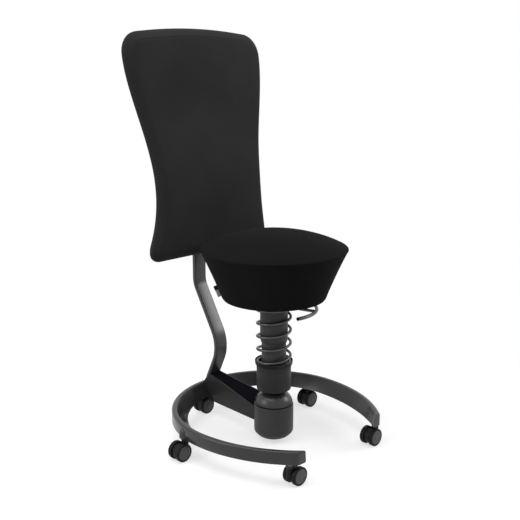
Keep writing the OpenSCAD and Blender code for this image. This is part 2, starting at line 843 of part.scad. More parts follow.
module lower_tube() color(metal) {
    rotate_extrude()
        polygon([
            [low_in_r, low_tube_z], [low_tube_r - 1.5, low_tube_z], [low_tube_r, low_tube_z + 1.5],
            [low_tube_r, low_tube_top_z], [low_in_r, low_tube_top_z]]);
}

module preload_ring() color(metal) {
    low = low_tube_top_z + face_gap;
    high = cup_z - face_gap;
    rotate_extrude()
        polygon([
            [neck_r + run, low], [low_tube_r, low], [low_tube_r + 0.6, low + 1], [low_tube_r + 0.6, high - 1],
            [low_tube_r, high], [neck_r + run, high]]);
}

// A block that the straight end of the spring's wire butts against
module spring_stop(a, way, low) {
    rotate([0, 0, a])
        translate([coil_r - wire_r + 0.5, way > 0 ? wire_d + face_gap : -wire_d - face_gap - stop_w, low])
            cube([wire_d - 0.5, stop_w, stop_h]);
}

module spring_cup() color(rubber) {
    lip_z = cup_floor_z + cup_lip_h;
    lip_r = cup_lip_t / 2;
    rotate_extrude()
        polygon(concat(
            [[guide_r + 0.2, cup_z], [neck_r - neck_wall, cup_z], [neck_r - neck_wall, neck_z],
                [neck_r, neck_z], [neck_r, cup_z], [cup_r - 3, cup_z], [cup_r - 0.5, cup_z + 2.5]],
            arc(cup_r - lip_r, lip_z - lip_r, lip_r, 0, 180, 8),
            [[cup_r - cup_lip_t, cup_floor_z], [guide_r + 0.2, cup_floor_z]]));
    spring_stop(coil_start_a, -1, cup_floor_z - 0.5);
}

module guide_tube() color(metal) {
    translate([0, 0, flange_top_z])
        difference() {
            cylinder(r = guide_r, h = guide_top_z - flange_top_z);
            translate([0, 0, -1])
                cylinder(r = guide_in_r, h = guide_top_z);
        }
}

module guide_bush() color(plastic) {
    translate([0, 0, guide_top_z - bush_h])
        difference() {
            cylinder(r = guide_in_r - 0.05, h = bush_h);
            translate([0, 0, -1])
                cylinder(r = lift_tube_r + run, h = bush_h + 2);
        }
}

// The wire's six corners at station i, with one corner straight down
function coil_ring(i) = let (
    p = coil_path[i],
    before = coil_path[max(i - 1, 0)],
    after = coil_path[min(i + 1, coil_last)],
    along = (after - before) / norm(after - before),
    across_v = cross(along, [0, 0, 1]),
    side = across_v / norm(across_v),
    up = cross(side, along))
    [for (k = [0:5]) p + wire_r * (cos(60 * k - 90) * side + sin(60 * k - 90) * up)];

module coil_spring() color(steel) {
    points = [for (i = [0:coil_last]) each coil_ring(i)];
    walls = [for (i = [0:coil_last - 1]) for (k = [0:5])
        let (a = 6 * i + k, b = 6 * i + (k + 1) % 6, c = a + 6, d = b + 6)
        each [[a, c, b], [b, c, d]]];
    low_cap = [for (k = [1:4]) [0, k, k + 1]];
    first = 6 * coil_last;
    high_cap = [for (k = [1:4]) [first, first + k + 1, first + k]];
    polyhedron(points, concat(low_cap, walls, high_cap));
    echo("least gap between turns", min(coil_gaps));
}

module slide_sleeve() color(metal) {
    rotate_extrude()
        polygon([
            [guide_r + run, sleeve_z], [sleeve_low_r, sleeve_z], [sleeve_r, sleeve_z + sleeve_cone_h],
            [sleeve_r, sleeve_top_z], [guide_r + run, sleeve_top_z]]);
}

module top_dish() color(metal) {
    hub_r = lift_tube_r + 0.05;
    rotate_extrude()
        polygon([
            [hub_r, sleeve_top_z], [sleeve_r, sleeve_top_z], [sleeve_r, dish_z], [dish_r, dish_z],
            [dish_r, dish_z + 2.5], [dish_r - 2.5, dish_top_z], [hub_r, dish_top_z]]);
    spring_stop(coil_end_a, 1, dish_z - stop_h + 0.5);
}

module lift_outer_tube() color(steel) {
    difference() {
        translate([0, 0, lift_z])
            cylinder(r = lift_tube_r, h = dish_top_z - lift_z);
        translate([0, 0, lift_z + lift_floor])
            cylinder(r = lift_in_r, h = dish_top_z);
        translate([0, 0, lift_z - 1])
            cylinder(r = rod_r + run, h = 2 * lift_floor);
    }
}

module lift_liner() color(plastic) {
    translate([0, 0, dish_top_z - liner_h])
        difference() {
            cylinder(r = lift_in_r - 0.05, h = liner_h);
            translate([0, 0, -1])
                cylinder(r = press_r + run, h = liner_h + 2);
        }
}

module thrust_bearing() color(steel) {
    translate([0, 0, bearing_z])
        difference() {
            cylinder(r = press_r, h = bearing_h);
            translate([0, 0, -1])
                cylinder(r = rod_r + 0.4, h = bearing_h + 2);
        }
}

module piston_rod() color(steel) {
    rotate_extrude()
        polygon([
            [0, lift_z - clip_h - 2], [rod_r, lift_z - clip_h - 2], [rod_r, shoulder_z],
            [rod_r + 3, shoulder_z], [rod_r + 3, shoulder_z + shoulder_h], [rod_r, shoulder_z + shoulder_h],
            [rod_r, piston_z], [press_in_r - run, piston_z], [press_in_r - run, piston_z + piston_h],
            [0, piston_z + piston_h]]);
}

module rod_clip() color(steel) {
    translate([0, 0, lift_z - clip_h - face_gap])
        rotate_extrude(angle = 330)
            translate([rod_r, 0])
                square([4, clip_h]);
}

module pressure_tube() color(steel) {
    rotate_extrude()
        polygon([
            [rod_r + run, press_z], [press_r, press_z], [press_r, press_top_z], [pin_r + run, press_top_z],
            [pin_r + run, press_top_z - press_top_t], [press_in_r, press_top_z - press_top_t],
            [press_in_r, press_z + press_cap_h], [rod_r + run, press_z + press_cap_h]]);
}

module release_pin() color(steel) {
    translate([0, 0, press_top_z - press_top_t - 6])
        cylinder(r = pin_r, h = lever_bar_z - 0.4 - press_top_z + press_top_t + 6);
}

module seat_screw_places() {
    for (k = [0:3])
        rotate([0, 0, lever_a + 45 + 90 * k])
            translate([seat_screw_x, 0, 0])
                children();
}

module seat_mount() color(metal) {
    difference() {
        translate([0, 0, mount_z])
            cylinder(r = mount_r, h = seat_z - mount_z);
        translate([0, 0, mount_z - 1])
            cylinder(r = press_r + 0.05, h = press_top_z - mount_z + 1);
        translate([0, 0, press_top_z - eps])
            cylinder(r = pin_r + 4, h = seat_z);
        rotate([0, 0, lever_a]) {
            translate([-pin_r - 2, -lever_slot_w / 2, press_top_z - 5])
                cube([mount_r + 20, lever_slot_w, seat_z]);
            translate([pivot_x, 0, pivot_z])
                rotate([90, 0, 0])
                    cylinder(r = pivot_r, h = 30, center = true);
        }
        seat_screw_places() {
            translate([0, 0, mount_z - 1])
                cylinder(r = seat_screw_r, h = seat_z);
            translate([0, 0, mount_z - 1])
                cylinder(r = seat_head_r + 0.3, h = seat_head_h + 1.5);
        }
    }
}

module seat_screws() color(steel) {
    seat_screw_places() {
        translate([0, 0, mount_z + 0.5])
            cylinder(r = seat_head_r, h = seat_head_h);
        translate([0, 0, mount_z + 0.5])
            cylinder(r = seat_screw_r, h = seat_z + board_t - 2 - mount_z - 0.5);
    }
}

module seat_board() color(plastic) {
    difference() {
        translate([0, 0, seat_z])
            cylinder(r = board_r, h = board_t);
        seat_screw_places()
            translate([0, 0, seat_z - 1])
                cylinder(r = seat_screw_r, h = board_t - 1);
    }
}

module seat_cushion() color(fabric) {
    rim_z = seat_rim_z;
    dome_z = rim_z + seat_crown - dome_r;
    dome_end_a = acos((seat_r - rim_round_r) / dome_r);
    low_x = seat_low_r - low_round_r;
    low_z = seat_z + low_round_r;
    side_a = atan2(seat_r - seat_low_r, rim_z - seat_z);
    top_x = seat_r - rim_round_r * 0.9;
    side_n = 8;
    side_from = [low_x + low_round_r * cos(side_a), low_z - low_round_r * sin(side_a)];
    side_to = [top_x + rim_round_r * cos(side_a), rim_z - rim_round_r * sin(side_a) - 1.5];
    inner = board_r + board_gap;
    rotate_extrude()
        polygon(concat(
            [[0, seat_z + board_t + board_gap], [inner, seat_z + board_t + board_gap], [inner, seat_z]],
            arc(low_x, low_z, low_round_r, -90, -side_a, 5),
            [for (i = [1:side_n - 1]) let (t = i / side_n)
                [side_from[0] + (side_to[0] - side_from[0]) * t - side_draw * 4 * t * (1 - t) * cos(side_a),
                    side_from[1] + (side_to[1] - side_from[1]) * t]],
            arc(top_x, rim_z - 1.5, rim_round_r, -side_a, 55, 6),
            arc(0, dome_z, dome_r, dome_end_a, 90, 14)));
}

// A blank cloth tab sewn into the seat's side
module seat_tag() color("#3c3c3e") {
    tag_z = seat_z + 11;
    tag_len = 33;
    tag_w = 10;
    side_a = atan2(seat_r - seat_low_r, seat_rim_z - seat_z);
    tag_r = seat_low_r + (tag_z - seat_z) * tan(side_a) - side_draw;
    rotate([0, 0, tag_a])
        translate([tag_r - 1, 0, tag_z])
            rotate([0, side_a, 0])
                translate([0, -0.6, 0])
                    cube([tag_w, 1.2, tag_len]);
}

module lever_pin() color(steel) {
    rotate([0, 0, lever_a])
        translate([pivot_x, 0, pivot_z])
            rotate([90, 0, 0])
                cylinder(r = pivot_r - 0.02, h = 28, center = true);
}

// A straight stretch of the lever's rod between two points of its side view
module lever_run(from, to) {
    translate([from[0], 0, from[1]])
        rotate([0, 90 + atan2(from[1] - to[1], to[0] - from[0]), 0])
            cylinder(r = lever_rod_r - 0.3, h = norm(to - from), $fn = 48);
}

module height_lever() color(steel) {
    rotate([0, 0, lever_a])
        difference() {
            union() {
                translate([-pin_r, -lever_bar_w / 2, lever_bar_z])
                    cube([arm_in_x + 8 + pin_r, lever_bar_w, lever_bar_h]);
                translate([pivot_x, 0, pivot_z])
                    rotate([90, 0, 0])
                        cylinder(r = eye_r, h = lever_bar_w, center = true);
                lever_run([arm_in_x, arm_in_z], [knee_x, knee_z]);
                lever_run([knee_x, knee_z], [foot_x, foot_z1]);
                lever_run([foot_x, foot_z1], [grip_r, grip_z]);
                for (q = [[knee_x, knee_z], [foot_x, foot_z1]])
                    translate([q[0], 0, q[1]])
                        sphere(r = lever_rod_r, $fn = 48);
                translate([0, 0, grip_z])
                    rotate([0, 0, -grip_half_a])
                        rotate_extrude(angle = 2 * grip_half_a)
                            translate([grip_r, 0])
                                circle(r = lever_rod_r, $fn = 48);
            }
            translate([pivot_x, 0, pivot_z])
                rotate([90, 0, 0])
                    cylinder(r = pivot_r + run, h = 2 * lever_bar_w, center = true);
        }
}

module lever_caps() color(rubber) {
    cap_r1 = lever_rod_r + 0.3;
    for (side = [-1, 1])
        rotate([0, 0, lever_a + side * grip_half_a])
            translate([grip_r, 0, grip_z])
                rotate([-side * 90, 0, 0])
                    rotate_extrude()
                        polygon(concat(
                            [[0, 0], [cap_r1, 0]],
                            arc(cap_r1 - 2, grip_cap_len - 2, 2, 0, 90, 5), [[0, grip_cap_len]]));
}

// The space between two layers of the backrest, given as distances behind its middle layer
module back_layer(near, far) {
    n = 24;
    low = back_z - 20;
    step = (back_top_z + 20 - low) / n;
    zs = [for (i = [0:n]) low + step * i];
    across(3 * back_top_w)
        polygon(concat(
            [for (z = zs) [back_mid(z) + near, z]],
            [for (i = [n:-1:0]) [back_mid(zs[i]) + far, zs[i]]]));
}

module back_shell() color(plastic) {
    side = back_side(shell_inset);
    pad_h = carrier_h + 4;
    difference() {
        union() {
            intersection() {
                translate([0, 2 * bar_top_y, 0])
                    rotate([90, 0, 0])
                        linear_extrude(2 * bar_top_y)
                            polygon(concat(side, mirrored(side)));
                back_layer(pad_rear + 0.2, pad_rear + shell_t);
            }
            intersection() {
                translate([-carrier_flange_w / 2 - 3, back_y, carrier_z - pad_h / 2])
                    cube([carrier_flange_w + 6, carrier_in_y - back_y, pad_h]);
                back_layer(pad_rear + 1, pad_rear + 60);
            }
        }
        carrier_screw_places()
            translate([0, 2, 0])
                rotate([90, 0, 0])
                    cylinder(r = carrier_screw_r, h = 12);
    }
}

// The four screws' places, on the face between the carrier and the shell
module carrier_screw_places() {
    for (x = [-1, 1], z = [-1, 1])
        translate([x * carrier_screw_x, carrier_in_y, carrier_z + z * carrier_screw_z])
            children();
}

module carrier_screws() color(steel) {
    carrier_screw_places() {
        translate([0, flange_t, 0])
            rotate([90, 0, 0])
                cylinder(r = carrier_screw_r, h = flange_t + 9);
        translate([0, flange_t + 4, 0])
            rotate([90, 0, 0])
                cylinder(r = 5.5, h = 4);
    }
}

module back_carrier() color(plastic) {
    slot_w = arm_rear_w + 2 * face_gap;
    slot_t = bar_t + 2 * face_gap;
    difference() {
        union() {
            translate([-carrier_flange_w / 2, carrier_in_y, carrier_low_z])
                cube([carrier_flange_w, flange_t, carrier_h]);
            translate([-carrier_w / 2, carrier_in_y, carrier_low_z])
                cube([carrier_w, carrier_back_y - carrier_in_y, carrier_h]);
        }
        translate([-slot_w / 2, bar_top_y - slot_t / 2, carrier_low_z - 1])
            cube([slot_w, slot_t, carrier_h + 2]);
        carrier_screw_places()
            translate([0, flange_t + 1, 0])
                rotate([90, 0, 0])
                    cylinder(r = carrier_screw_r, h = flange_t + 2);
        translate([0, carrier_back_y + 1, carrier_z])
            rotate([90, 0, 0])
                cylinder(r = stud_r + run, h = carrier_wall_y + 2);
        translate([0, bar_top_y + slot_t / 2 + clamp_pad_t + 1, carrier_z])
            rotate([90, 0, 0])
                cylinder(r = clamp_pad_r + 0.3, h = clamp_pad_t + 2);
    }
}

module clamp_pad() color(rubber) {
    translate([0, bar_top_y + bar_t / 2 + face_gap + clamp_pad_t, carrier_z])
        rotate([90, 0, 0])
            cylinder(r = clamp_pad_r, h = clamp_pad_t);
}

module clamp_knob() color(plastic) {
    lobes = 6;
    translate([0, knob_y, carrier_z])
        rotate([-90, 0, 0])
            union() {
                difference() {
                    rotate_extrude()
                        polygon(concat(
                            [[0, 0], [knob_r - 6, 0], [knob_r, 5]],
                            arc(knob_r - 5, knob_h - 5, 5, 0, 90, 6), [[0, knob_h]]));
                    for (k = [0:lobes - 1])
                        rotate([0, 0, 360 / lobes * (k + 0.5)])
                            translate([knob_r + 6, 0, -1])
                                cylinder(r = 10, h = knob_h + 2, $fn = 48);
                }
                translate([0, 0, bar_top_y + bar_t / 2 + 2 * face_gap + clamp_pad_t - knob_y])
                    cylinder(r = stud_r, h = knob_y - bar_top_y - bar_t / 2 - clamp_pad_t + 2);
            }
}

// Padding: shares of the half width and of the height at which its surface is drawn
pad_u = [-1, -0.985, -0.955, -0.91, -0.8, -0.55, -0.25, 0, 0.25, 0.55, 0.8, 0.91, 0.955, 0.985, 1];
pad_edge = [0, 0.004, 0.013, 0.024, 0.036, 0.06, 0.09];
pad_rows = concat(
    pad_edge, [for (i = [1:15]) 0.09 + (0.9 - 0.09) * i / 16],
    [0.9, 0.925, 0.95, 0.967, 0.98, 0.99, 0.997, 1]);
pad_nu = len(pad_u);
pad_nv = len(pad_rows);
pad_crown = 3;
// The bevelled border's rise, from 0 at the seam to 1 at the flat front
function bevel(s) = s >= 1 ? 1 : s <= 0 ? 0 : s < 0.1 ? 0.4 * sqrt(s / 0.1) : 0.4 + 0.6 * (s - 0.1) / 0.9;
function row_half(z) =
    z < back_hip_z ? back_low_w - back_low_corner_r
        + sqrt(max(0, pow(back_low_corner_r, 2) - pow(back_hip_z - z, 2)))
    : z > back_shoulder_z ? back_edge_x
        + sqrt(max(0, pow(back_corner_r, 2) - pow(z - back_shoulder_z, 2)))
    : back_half(z);
row_top_z = back_top_z - back_arch;
function pad_x(i, j) = pad_u[i] * row_half(back_z + (row_top_z - back_z) * pad_rows[j]);
function pad_lift(i, j) = back_arch * max(0, 1 - pow(pad_x(i, j) / back_edge_x, 2)) * smooth(pad_rows[j]);
function pad_z(i, j) = back_z + (row_top_z - back_z) * pad_rows[j] + pad_lift(i, j);
function pad_rise(i, j) = let (
    z = back_z + (row_top_z - back_z) * pad_rows[j],
    side = (row_half(z) - abs(pad_x(i, j))) / pad_bevel,
    end = min(z - back_z, row_top_z - z) / pad_bevel)
    bevel(side) * bevel(end);
function pad_front_point(i, j) = [
    pad_x(i, j),
    back_mid(pad_z(i, j)) - (pad_front + pad_crown * (1 - pow(pad_u[i], 2))) * pad_rise(i, j),
    pad_z(i, j)];
function pad_rear_point(i, j) = [
    pad_x(i, j), back_mid(pad_z(i, j)) + pad_rear * sqrt(pad_rise(i, j)), pad_z(i, j)];
function pad_on_seam(i, j) = i == 0 || j == 0 || i == pad_nu - 1 || j == pad_nv - 1;
function pad_id(layer, i, j) = (pad_on_seam(i, j) ? 0 : layer) * pad_nu * pad_nv + j * pad_nu + i;

// Two triangles for a cell of the surface; the shared edge turns so that it starts from the outline's corners
function pad_turned(c) = (c[0] < pad_nu / 2) == (c[1] < pad_nv / 2);
function pad_cell(a, b, d, e, turned) = turned ? [[a, d, e], [a, e, b]] : [[a, d, b], [b, d, e]];

module back_cushion() color(fabric) {
    points = concat(
        [for (j = [0:pad_nv - 1]) for (i = [0:pad_nu - 1]) pad_front_point(i, j)],
        [for (j = [0:pad_nv - 1]) for (i = [0:pad_nu - 1]) pad_rear_point(i, j)]);
    cells = [for (j = [0:pad_nv - 2]) for (i = [0:pad_nu - 2]) [i, j]];
    front = [for (c = cells) let (
            a = pad_id(0, c[0], c[1]), b = pad_id(0, c[0] + 1, c[1]),
            d = pad_id(0, c[0], c[1] + 1), e = pad_id(0, c[0] + 1, c[1] + 1))
        each pad_cell(a, b, d, e, pad_turned(c))];
    rear = [for (c = cells) let (
            a = pad_id(1, c[0], c[1]), b = pad_id(1, c[0] + 1, c[1]),
            d = pad_id(1, c[0], c[1] + 1), e = pad_id(1, c[0] + 1, c[1] + 1))
        each pad_cell(a, d, b, e, pad_turned(c))];
    polyhedron(points, concat(front, rear));
}

foot_ring();
rear_arm();
arm_cover();
pot();
tilt_cup_lower();
tilt_cup_upper();
pot_collar();
seal_ring();
boot_cap();
upright();
upright_screws();
caster_stems();
grip_rings();
tilt_ring();
column_post();
lower_tube();
spring_cup();
guide_tube();
guide_bush();
coil_spring();
preload_ring();
slide_sleeve();
top_dish();
lift_outer_tube();
lift_liner();
thrust_bearing();
piston_rod();
rod_clip();
pressure_tube();
seat_mount();
seat_board();
seat_screws();
seat_cushion();
seat_tag();
lever_pin();
height_lever();
lever_caps();
release_pin();
back_shell();
back_cushion();
back_carrier();
carrier_screws();
clamp_pad();
clamp_knob();
caster_hood(0);  // caster_1_hood
caster_wheel(0, 1);  // caster_1_wheel_a
caster_wheel(0, -1);  // caster_1_wheel_b
caster_hood(1);  // caster_2_hood
caster_wheel(1, 1);  // caster_2_wheel_a
caster_wheel(1, -1);  // caster_2_wheel_b
caster_hood(2);  // caster_3_hood
caster_wheel(2, 1);  // caster_3_wheel_a
caster_wheel(2, -1);  // caster_3_wheel_b
caster_hood(3);  // caster_4_hood
caster_wheel(3, 1);  // caster_4_wheel_a
caster_wheel(3, -1);  // caster_4_wheel_b
caster_hood(4);  // caster_5_hood
caster_wheel(4, 1);  // caster_5_wheel_a
caster_wheel(4, -1);  // caster_5_wheel_b
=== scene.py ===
import math

import bmesh
import bpy
import numpy as np
from mathutils import Matrix, Vector, kdtree


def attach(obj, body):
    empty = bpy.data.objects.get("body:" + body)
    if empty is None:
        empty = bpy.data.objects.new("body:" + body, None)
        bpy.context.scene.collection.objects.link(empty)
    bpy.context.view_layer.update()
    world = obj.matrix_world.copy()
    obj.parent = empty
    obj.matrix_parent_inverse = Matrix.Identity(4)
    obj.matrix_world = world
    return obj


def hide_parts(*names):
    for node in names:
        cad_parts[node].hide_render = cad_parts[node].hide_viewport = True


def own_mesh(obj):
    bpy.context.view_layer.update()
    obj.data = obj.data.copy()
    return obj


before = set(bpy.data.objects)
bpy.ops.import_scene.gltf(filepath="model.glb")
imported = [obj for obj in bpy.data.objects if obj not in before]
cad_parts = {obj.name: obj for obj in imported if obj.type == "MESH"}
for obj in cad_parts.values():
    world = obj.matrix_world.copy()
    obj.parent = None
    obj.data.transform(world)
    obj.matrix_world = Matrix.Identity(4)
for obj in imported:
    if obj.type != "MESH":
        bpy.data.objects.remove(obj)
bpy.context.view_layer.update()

MM = 0.001

# ---------------------------------------------------------------- sizes, in mm, in the CAD frame
RING_R, RING_FRONT_R, RING_Y, RING_END_Y = 276.0, 390.0, 20.0, 248.0
RING_TOP, RING_H, RING_W, RING_LEAN, RING_WALL = 96.0, 36.0, 16.5, 29.5, 5.0
RING_EDGE, RING_END_W = 6.0, 27.5
RING_LOW = RING_TOP - RING_H
WALL_MID = RING_W / 2
ARM_X = RING_R - RING_FRONT_R
END_D = RING_Y + RING_END_Y
FOOT_IN_X = RING_R - RING_W - RING_LEAN - 0.5
END_IN_X = ARM_X + math.sqrt(RING_FRONT_R ** 2 - END_D ** 2) - RING_END_W
PARE_X = (END_IN_X ** 2 + END_D ** 2 - FOOT_IN_X ** 2) / (2 * (FOOT_IN_X - END_IN_X))
PARE_R = FOOT_IN_X + PARE_X
BOSS_H, BOSS_FRONT_R, BOSS_REAR_R = 14.0, WALL_MID + 1.5, WALL_MID + 7.5

WHEEL_R, WHEEL_GAP, TRAIL = 25.0, 16.0, 19.0
FRONT_Y = 22.0 - RING_END_Y
FRONT_X = ARM_X + math.sqrt((RING_FRONT_R - WALL_MID) ** 2 - (FRONT_Y - RING_Y) ** 2)
MID_R = RING_R - WALL_MID
SIDE_A = math.radians(108)
REACH = -RING_Y * math.cos(SIDE_A) + math.sqrt(MID_R ** 2 - (RING_Y * math.sin(SIDE_A)) ** 2)
SIDE_X, SIDE_Y = REACH * math.sin(SIDE_A), -REACH * math.cos(SIDE_A)
STEMS = [(-FRONT_X, FRONT_Y), (FRONT_X, FRONT_Y), (-SIDE_X, SIDE_Y), (SIDE_X, SIDE_Y),
         (0.0, RING_Y + RING_R - RING_W - 1.0)]
TRAIL_WAY = [1, -1, -1, -1, -1]

BAR_W, BAR_T, BAR_TOP_Y, BAR_TOP_Z = 45.5, 12.0, 310.0, 700.0
BAR_WAIST_Y, BAR_WAIST_Z, LOW_LEAN, MID_LEAN = 220.0, 222.0, math.radians(25), math.radians(30)
LOW_R, UP_R = 100.0, 60.0
ARM_FRONT_Z, ARM_REAR_Z, ARM_Y = 89.5, 131.0, 240.0

SEAT_R, SEAT_RIM_Z, SEAT_CROWN, SEAT_LOW_R, SEAT_Z = 200.0, 552.5, 45.5, 143.0, 417.0
LEVER_A, GRIP_R, GRIP_HALF, GRIP_Z, LEVER_ROD = math.radians(-61), 118.0, math.radians(42), 385.0, 4.5
GRIP_THICKER, ARM_THINNER = 0.4, 0.3

BACK_Z, BACK_TOP_Z, BACK_WAIST_Z = 508.0, 1136.0, 700.0
BACK_TOP_W, BACK_WAIST_W, BACK_LOW_W = 253.0, 199.0, 224.0
BACK_CORNER, BACK_LOW_CORNER, BACK_ARCH = 62.0, 34.0, 11.0
BACK_Y, BACK_LUMBAR_Z, BACK_CURVE_R, BACK_LEAN = 250.0, 640.0, 820.0, math.radians(9.7)
PAD_FRONT, PAD_REAR, PAD_BEVEL = 20.0, 9.0, 21.0


# ---------------------------------------------------------------- mesh helpers
def sharp(me, angle):
    me.shade_smooth()
    me.set_sharp_from_angle(angle=math.radians(angle))


def make(name, verts, faces, mat, body, replaces=(), smooth=35):
    """A piece of the scene that rides on a body and stands for the CAD nodes in replaces."""
    me = bpy.data.meshes.new(name)
    me.from_pydata([tuple(float(c) * MM for c in v) for v in verts], [],
                   [tuple(int(i) for i in f) for f in faces])
    bm = bmesh.new()
    bm.from_mesh(me)
    bmesh.ops.remove_doubles(bm, verts=bm.verts, dist=2e-6)
    bmesh.ops.recalc_face_normals(bm, faces=bm.faces)
    bm.to_mesh(me)
    bm.free()
    sharp(me, smooth)
    me.materials.append(mat)
    ob = bpy.data.objects.new(name, me)
    bpy.context.scene.collection.objects.link(ob)
    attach(ob, body)
    for n in replaces:
        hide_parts(n)
    return ob


class Shell:
    """Gathers closed shells into one piece."""

    def __init__(self):
        self.v, self.f = [], []

    def add(self, verts, faces):
        n = len(self.v)
        self.v += [tuple(p) for p in verts]
        self.f += [tuple(i + n for i in f) for f in faces]
        return self


def arc(cx, cy, r, a0, a1, n):
    return [(cx + r * math.cos(math.radians(a0 + (a1 - a0) * i / n)),
             cy + r * math.sin(math.radians(a0 + (a1 - a0) * i / n))) for i in range(n + 1)]


def rounded(points, radius, n=4, closed=True):
    """A 2D outline with its corners rounded; radius is one number or one per corner."""
    out = []
    k = len(points)
    for i in range(k):
        r = radius[i] if isinstance(radius, (list, tuple)) else radius
        p = np.array(points[i], float)
        if r <= 0 or (not closed and i in (0, k - 1)):
            out.append(tuple(p))
            continue
        a, b = np.array(points[i - 1], float) - p, np.array(points[(i + 1) % k], float) - p
        la, lb = np.linalg.norm(a), np.linalg.norm(b)
        a, b = a / la, b / lb
        ang = math.acos(max(-1, min(1, float(a @ b))))
        if ang > math.radians(176):
            out.append(tuple(p))
            continue
        d = min(r / math.tan(ang / 2), 0.48 * la, 0.48 * lb)
        rr = d * math.tan(ang / 2)
        c = p + (a + b) / np.linalg.norm(a + b) * rr / math.sin(ang / 2)
        s, e = p + a * d - c, p + b * d - c
        total = math.acos(max(-1, min(1, float(s @ e) / (rr * rr))))
        for j in range(n + 1):
            t = j / n
            w = (math.sin((1 - t) * total) * s + math.sin(t * total) * e) / max(math.sin(total), 1e-9)
            out.append(tuple(c + w))
    return out


def lathe(profile, seg):
    """Closed profile of (radius, height) about Z."""
    v, f = [], []
    k = len(profile)
    for s in range(seg):
        a = 2 * math.pi * s / seg
        for r, z in profile:
            v.append((max(r, 0) * math.cos(a), max(r, 0) * math.sin(a), z))
    for s in range(seg):
        t = (s + 1) % seg
        for i in range(k):
            j = (i + 1) % k
            if profile[i][0] <= 1e-6 and profile[j][0] <= 1e-6:
                continue
            if profile[i][0] <= 1e-6:
                f.append((s * k + i, s * k + j, t * k + j))
            elif profile[j][0] <= 1e-6:
                f.append((s * k + i, s * k + j, t * k + i))
            else:
                f.append((s * k + i, s * k + j, t * k + j, t * k + i))
    return v, f


def sweep(sections):
    """Loops of equal length joined into a skin, closed by end faces."""
    v, f = [], []
    k = len(sections[0])
    for sec in sections:
        v += list(sec)
    for s in range(len(sections) - 1):
        for i in range(k):
            j = (i + 1) % k
            f.append((s * k + i, s * k + j, (s + 1) * k + j, (s + 1) * k + i))
    f.append(tuple(reversed(range(k))))
    f.append(tuple((len(sections) - 1) * k + i for i in range(k)))
    return v, f


def tube(path, r, sides):
    """A round wire along points."""
    pts = [Vector(p) for p in path]
    secs = []
    for i, p in enumerate(pts):
        t = (pts[min(i + 1, len(pts) - 1)] - pts[max(i - 1, 0)]).normalized()
        n = t.cross(Vector((0, 0, 1)))
        if n.length < 1e-5:
            n = t.cross(Vector((1, 0, 0)))
        n.normalize()
        b = n.cross(t)
        angles = [2 * math.pi * k / sides for k in range(sides)]
        secs.append([tuple(p + r * (math.cos(a) * n + math.sin(a) * b)) for a in angles])
    return sweep(secs)


def box_mesh(x0, x1, y0, y1, z0, z1):
    v = [(x, y, z) for x in (x0, x1) for y in (y0, y1) for z in (z0, z1)]
    f = [(0, 1, 3, 2), (4, 6, 7, 5), (0, 4, 5, 1), (2, 3, 7, 6), (0, 2, 6, 4), (1, 5, 7, 3)]
    return v, f


# ---------------------------------------------------------------- materials
def new_material(name):
    m = bpy.data.materials.new(name)
    m.use_nodes = True
    nt = m.node_tree
    for n in list(nt.nodes):
        nt.nodes.remove(n)
    out = nt.nodes.new("ShaderNodeOutputMaterial")
    bsdf = nt.nodes.new("ShaderNodeBsdfPrincipled")
    nt.links.new(bsdf.outputs[0], out.inputs[0])
    return m, nt, bsdf


def noise(nt, coord, scale, detail=3.0, rough=0.5):
    n = nt.nodes.new("ShaderNodeTexNoise")
    n.inputs["Scale"].default_value = scale
    n.inputs["Detail"].default_value = detail
    n.inputs["Roughness"].default_value = rough
    nt.links.new(coord, n.inputs["Vector"])
    return n.outputs["Fac"]


def ramp(nt, fac, low, high, a=0.3, b=0.7):
    r = nt.nodes.new("ShaderNodeValToRGB")
    r.color_ramp.elements[0].position, r.color_ramp.elements[1].position = a, b
    r.color_ramp.elements[0].color = (*low, 1)
    r.color_ramp.elements[1].color = (*high, 1)
    nt.links.new(fac, r.inputs["Fac"])
    return r.outputs["Color"]


def map_range(nt, fac, lo, hi):
    n = nt.nodes.new("ShaderNodeMapRange")
    n.inputs["To Min"].default_value, n.inputs["To Max"].default_value = lo, hi
    nt.links.new(fac, n.inputs["Value"])
    return n.outputs["Result"]


def bump(nt, height, strength, distance, normal=None):
    b = nt.nodes.new("ShaderNodeBump")
    b.inputs["Strength"].default_value = strength
    b.inputs["Distance"].default_value = distance
    nt.links.new(height, b.inputs["Height"])
    if normal is not None:
        nt.links.new(normal, b.inputs["Normal"])
    return b.outputs["Normal"]


def soft_edges(nt, radius):
    soft = nt.nodes.new("ShaderNodeBevel")
    soft.samples = 4
    soft.inputs["Radius"].default_value = radius
    return soft.outputs["Normal"]


def coat_metal(name, colour, rough, spec, strength=0.12):
    """Powder-coated or lacquered metal: fine orange-peel, slight colour and gloss changes, softened edges."""
    m, nt, bsdf = new_material(name)
    co = nt.nodes.new("ShaderNodeTexCoord").outputs["Object"]
    c = np.array(colour)
    big = noise(nt, co, 9, 2)
    nt.links.new(ramp(nt, big, tuple(c * (1 - 0.12)), tuple(c * (1 + 0.12))), bsdf.inputs["Base Color"])
    nt.links.new(map_range(nt, noise(nt, co, 40, 4), rough - 0.06, rough + 0.06), bsdf.inputs["Roughness"])
    bsdf.inputs["Specular IOR Level"].default_value = spec
    peel = noise(nt, co, 1400, 2)
    nt.links.new(bump(nt, peel, strength, 0.0002, soft_edges(nt, 0.0008)), bsdf.inputs["Normal"])
    return m


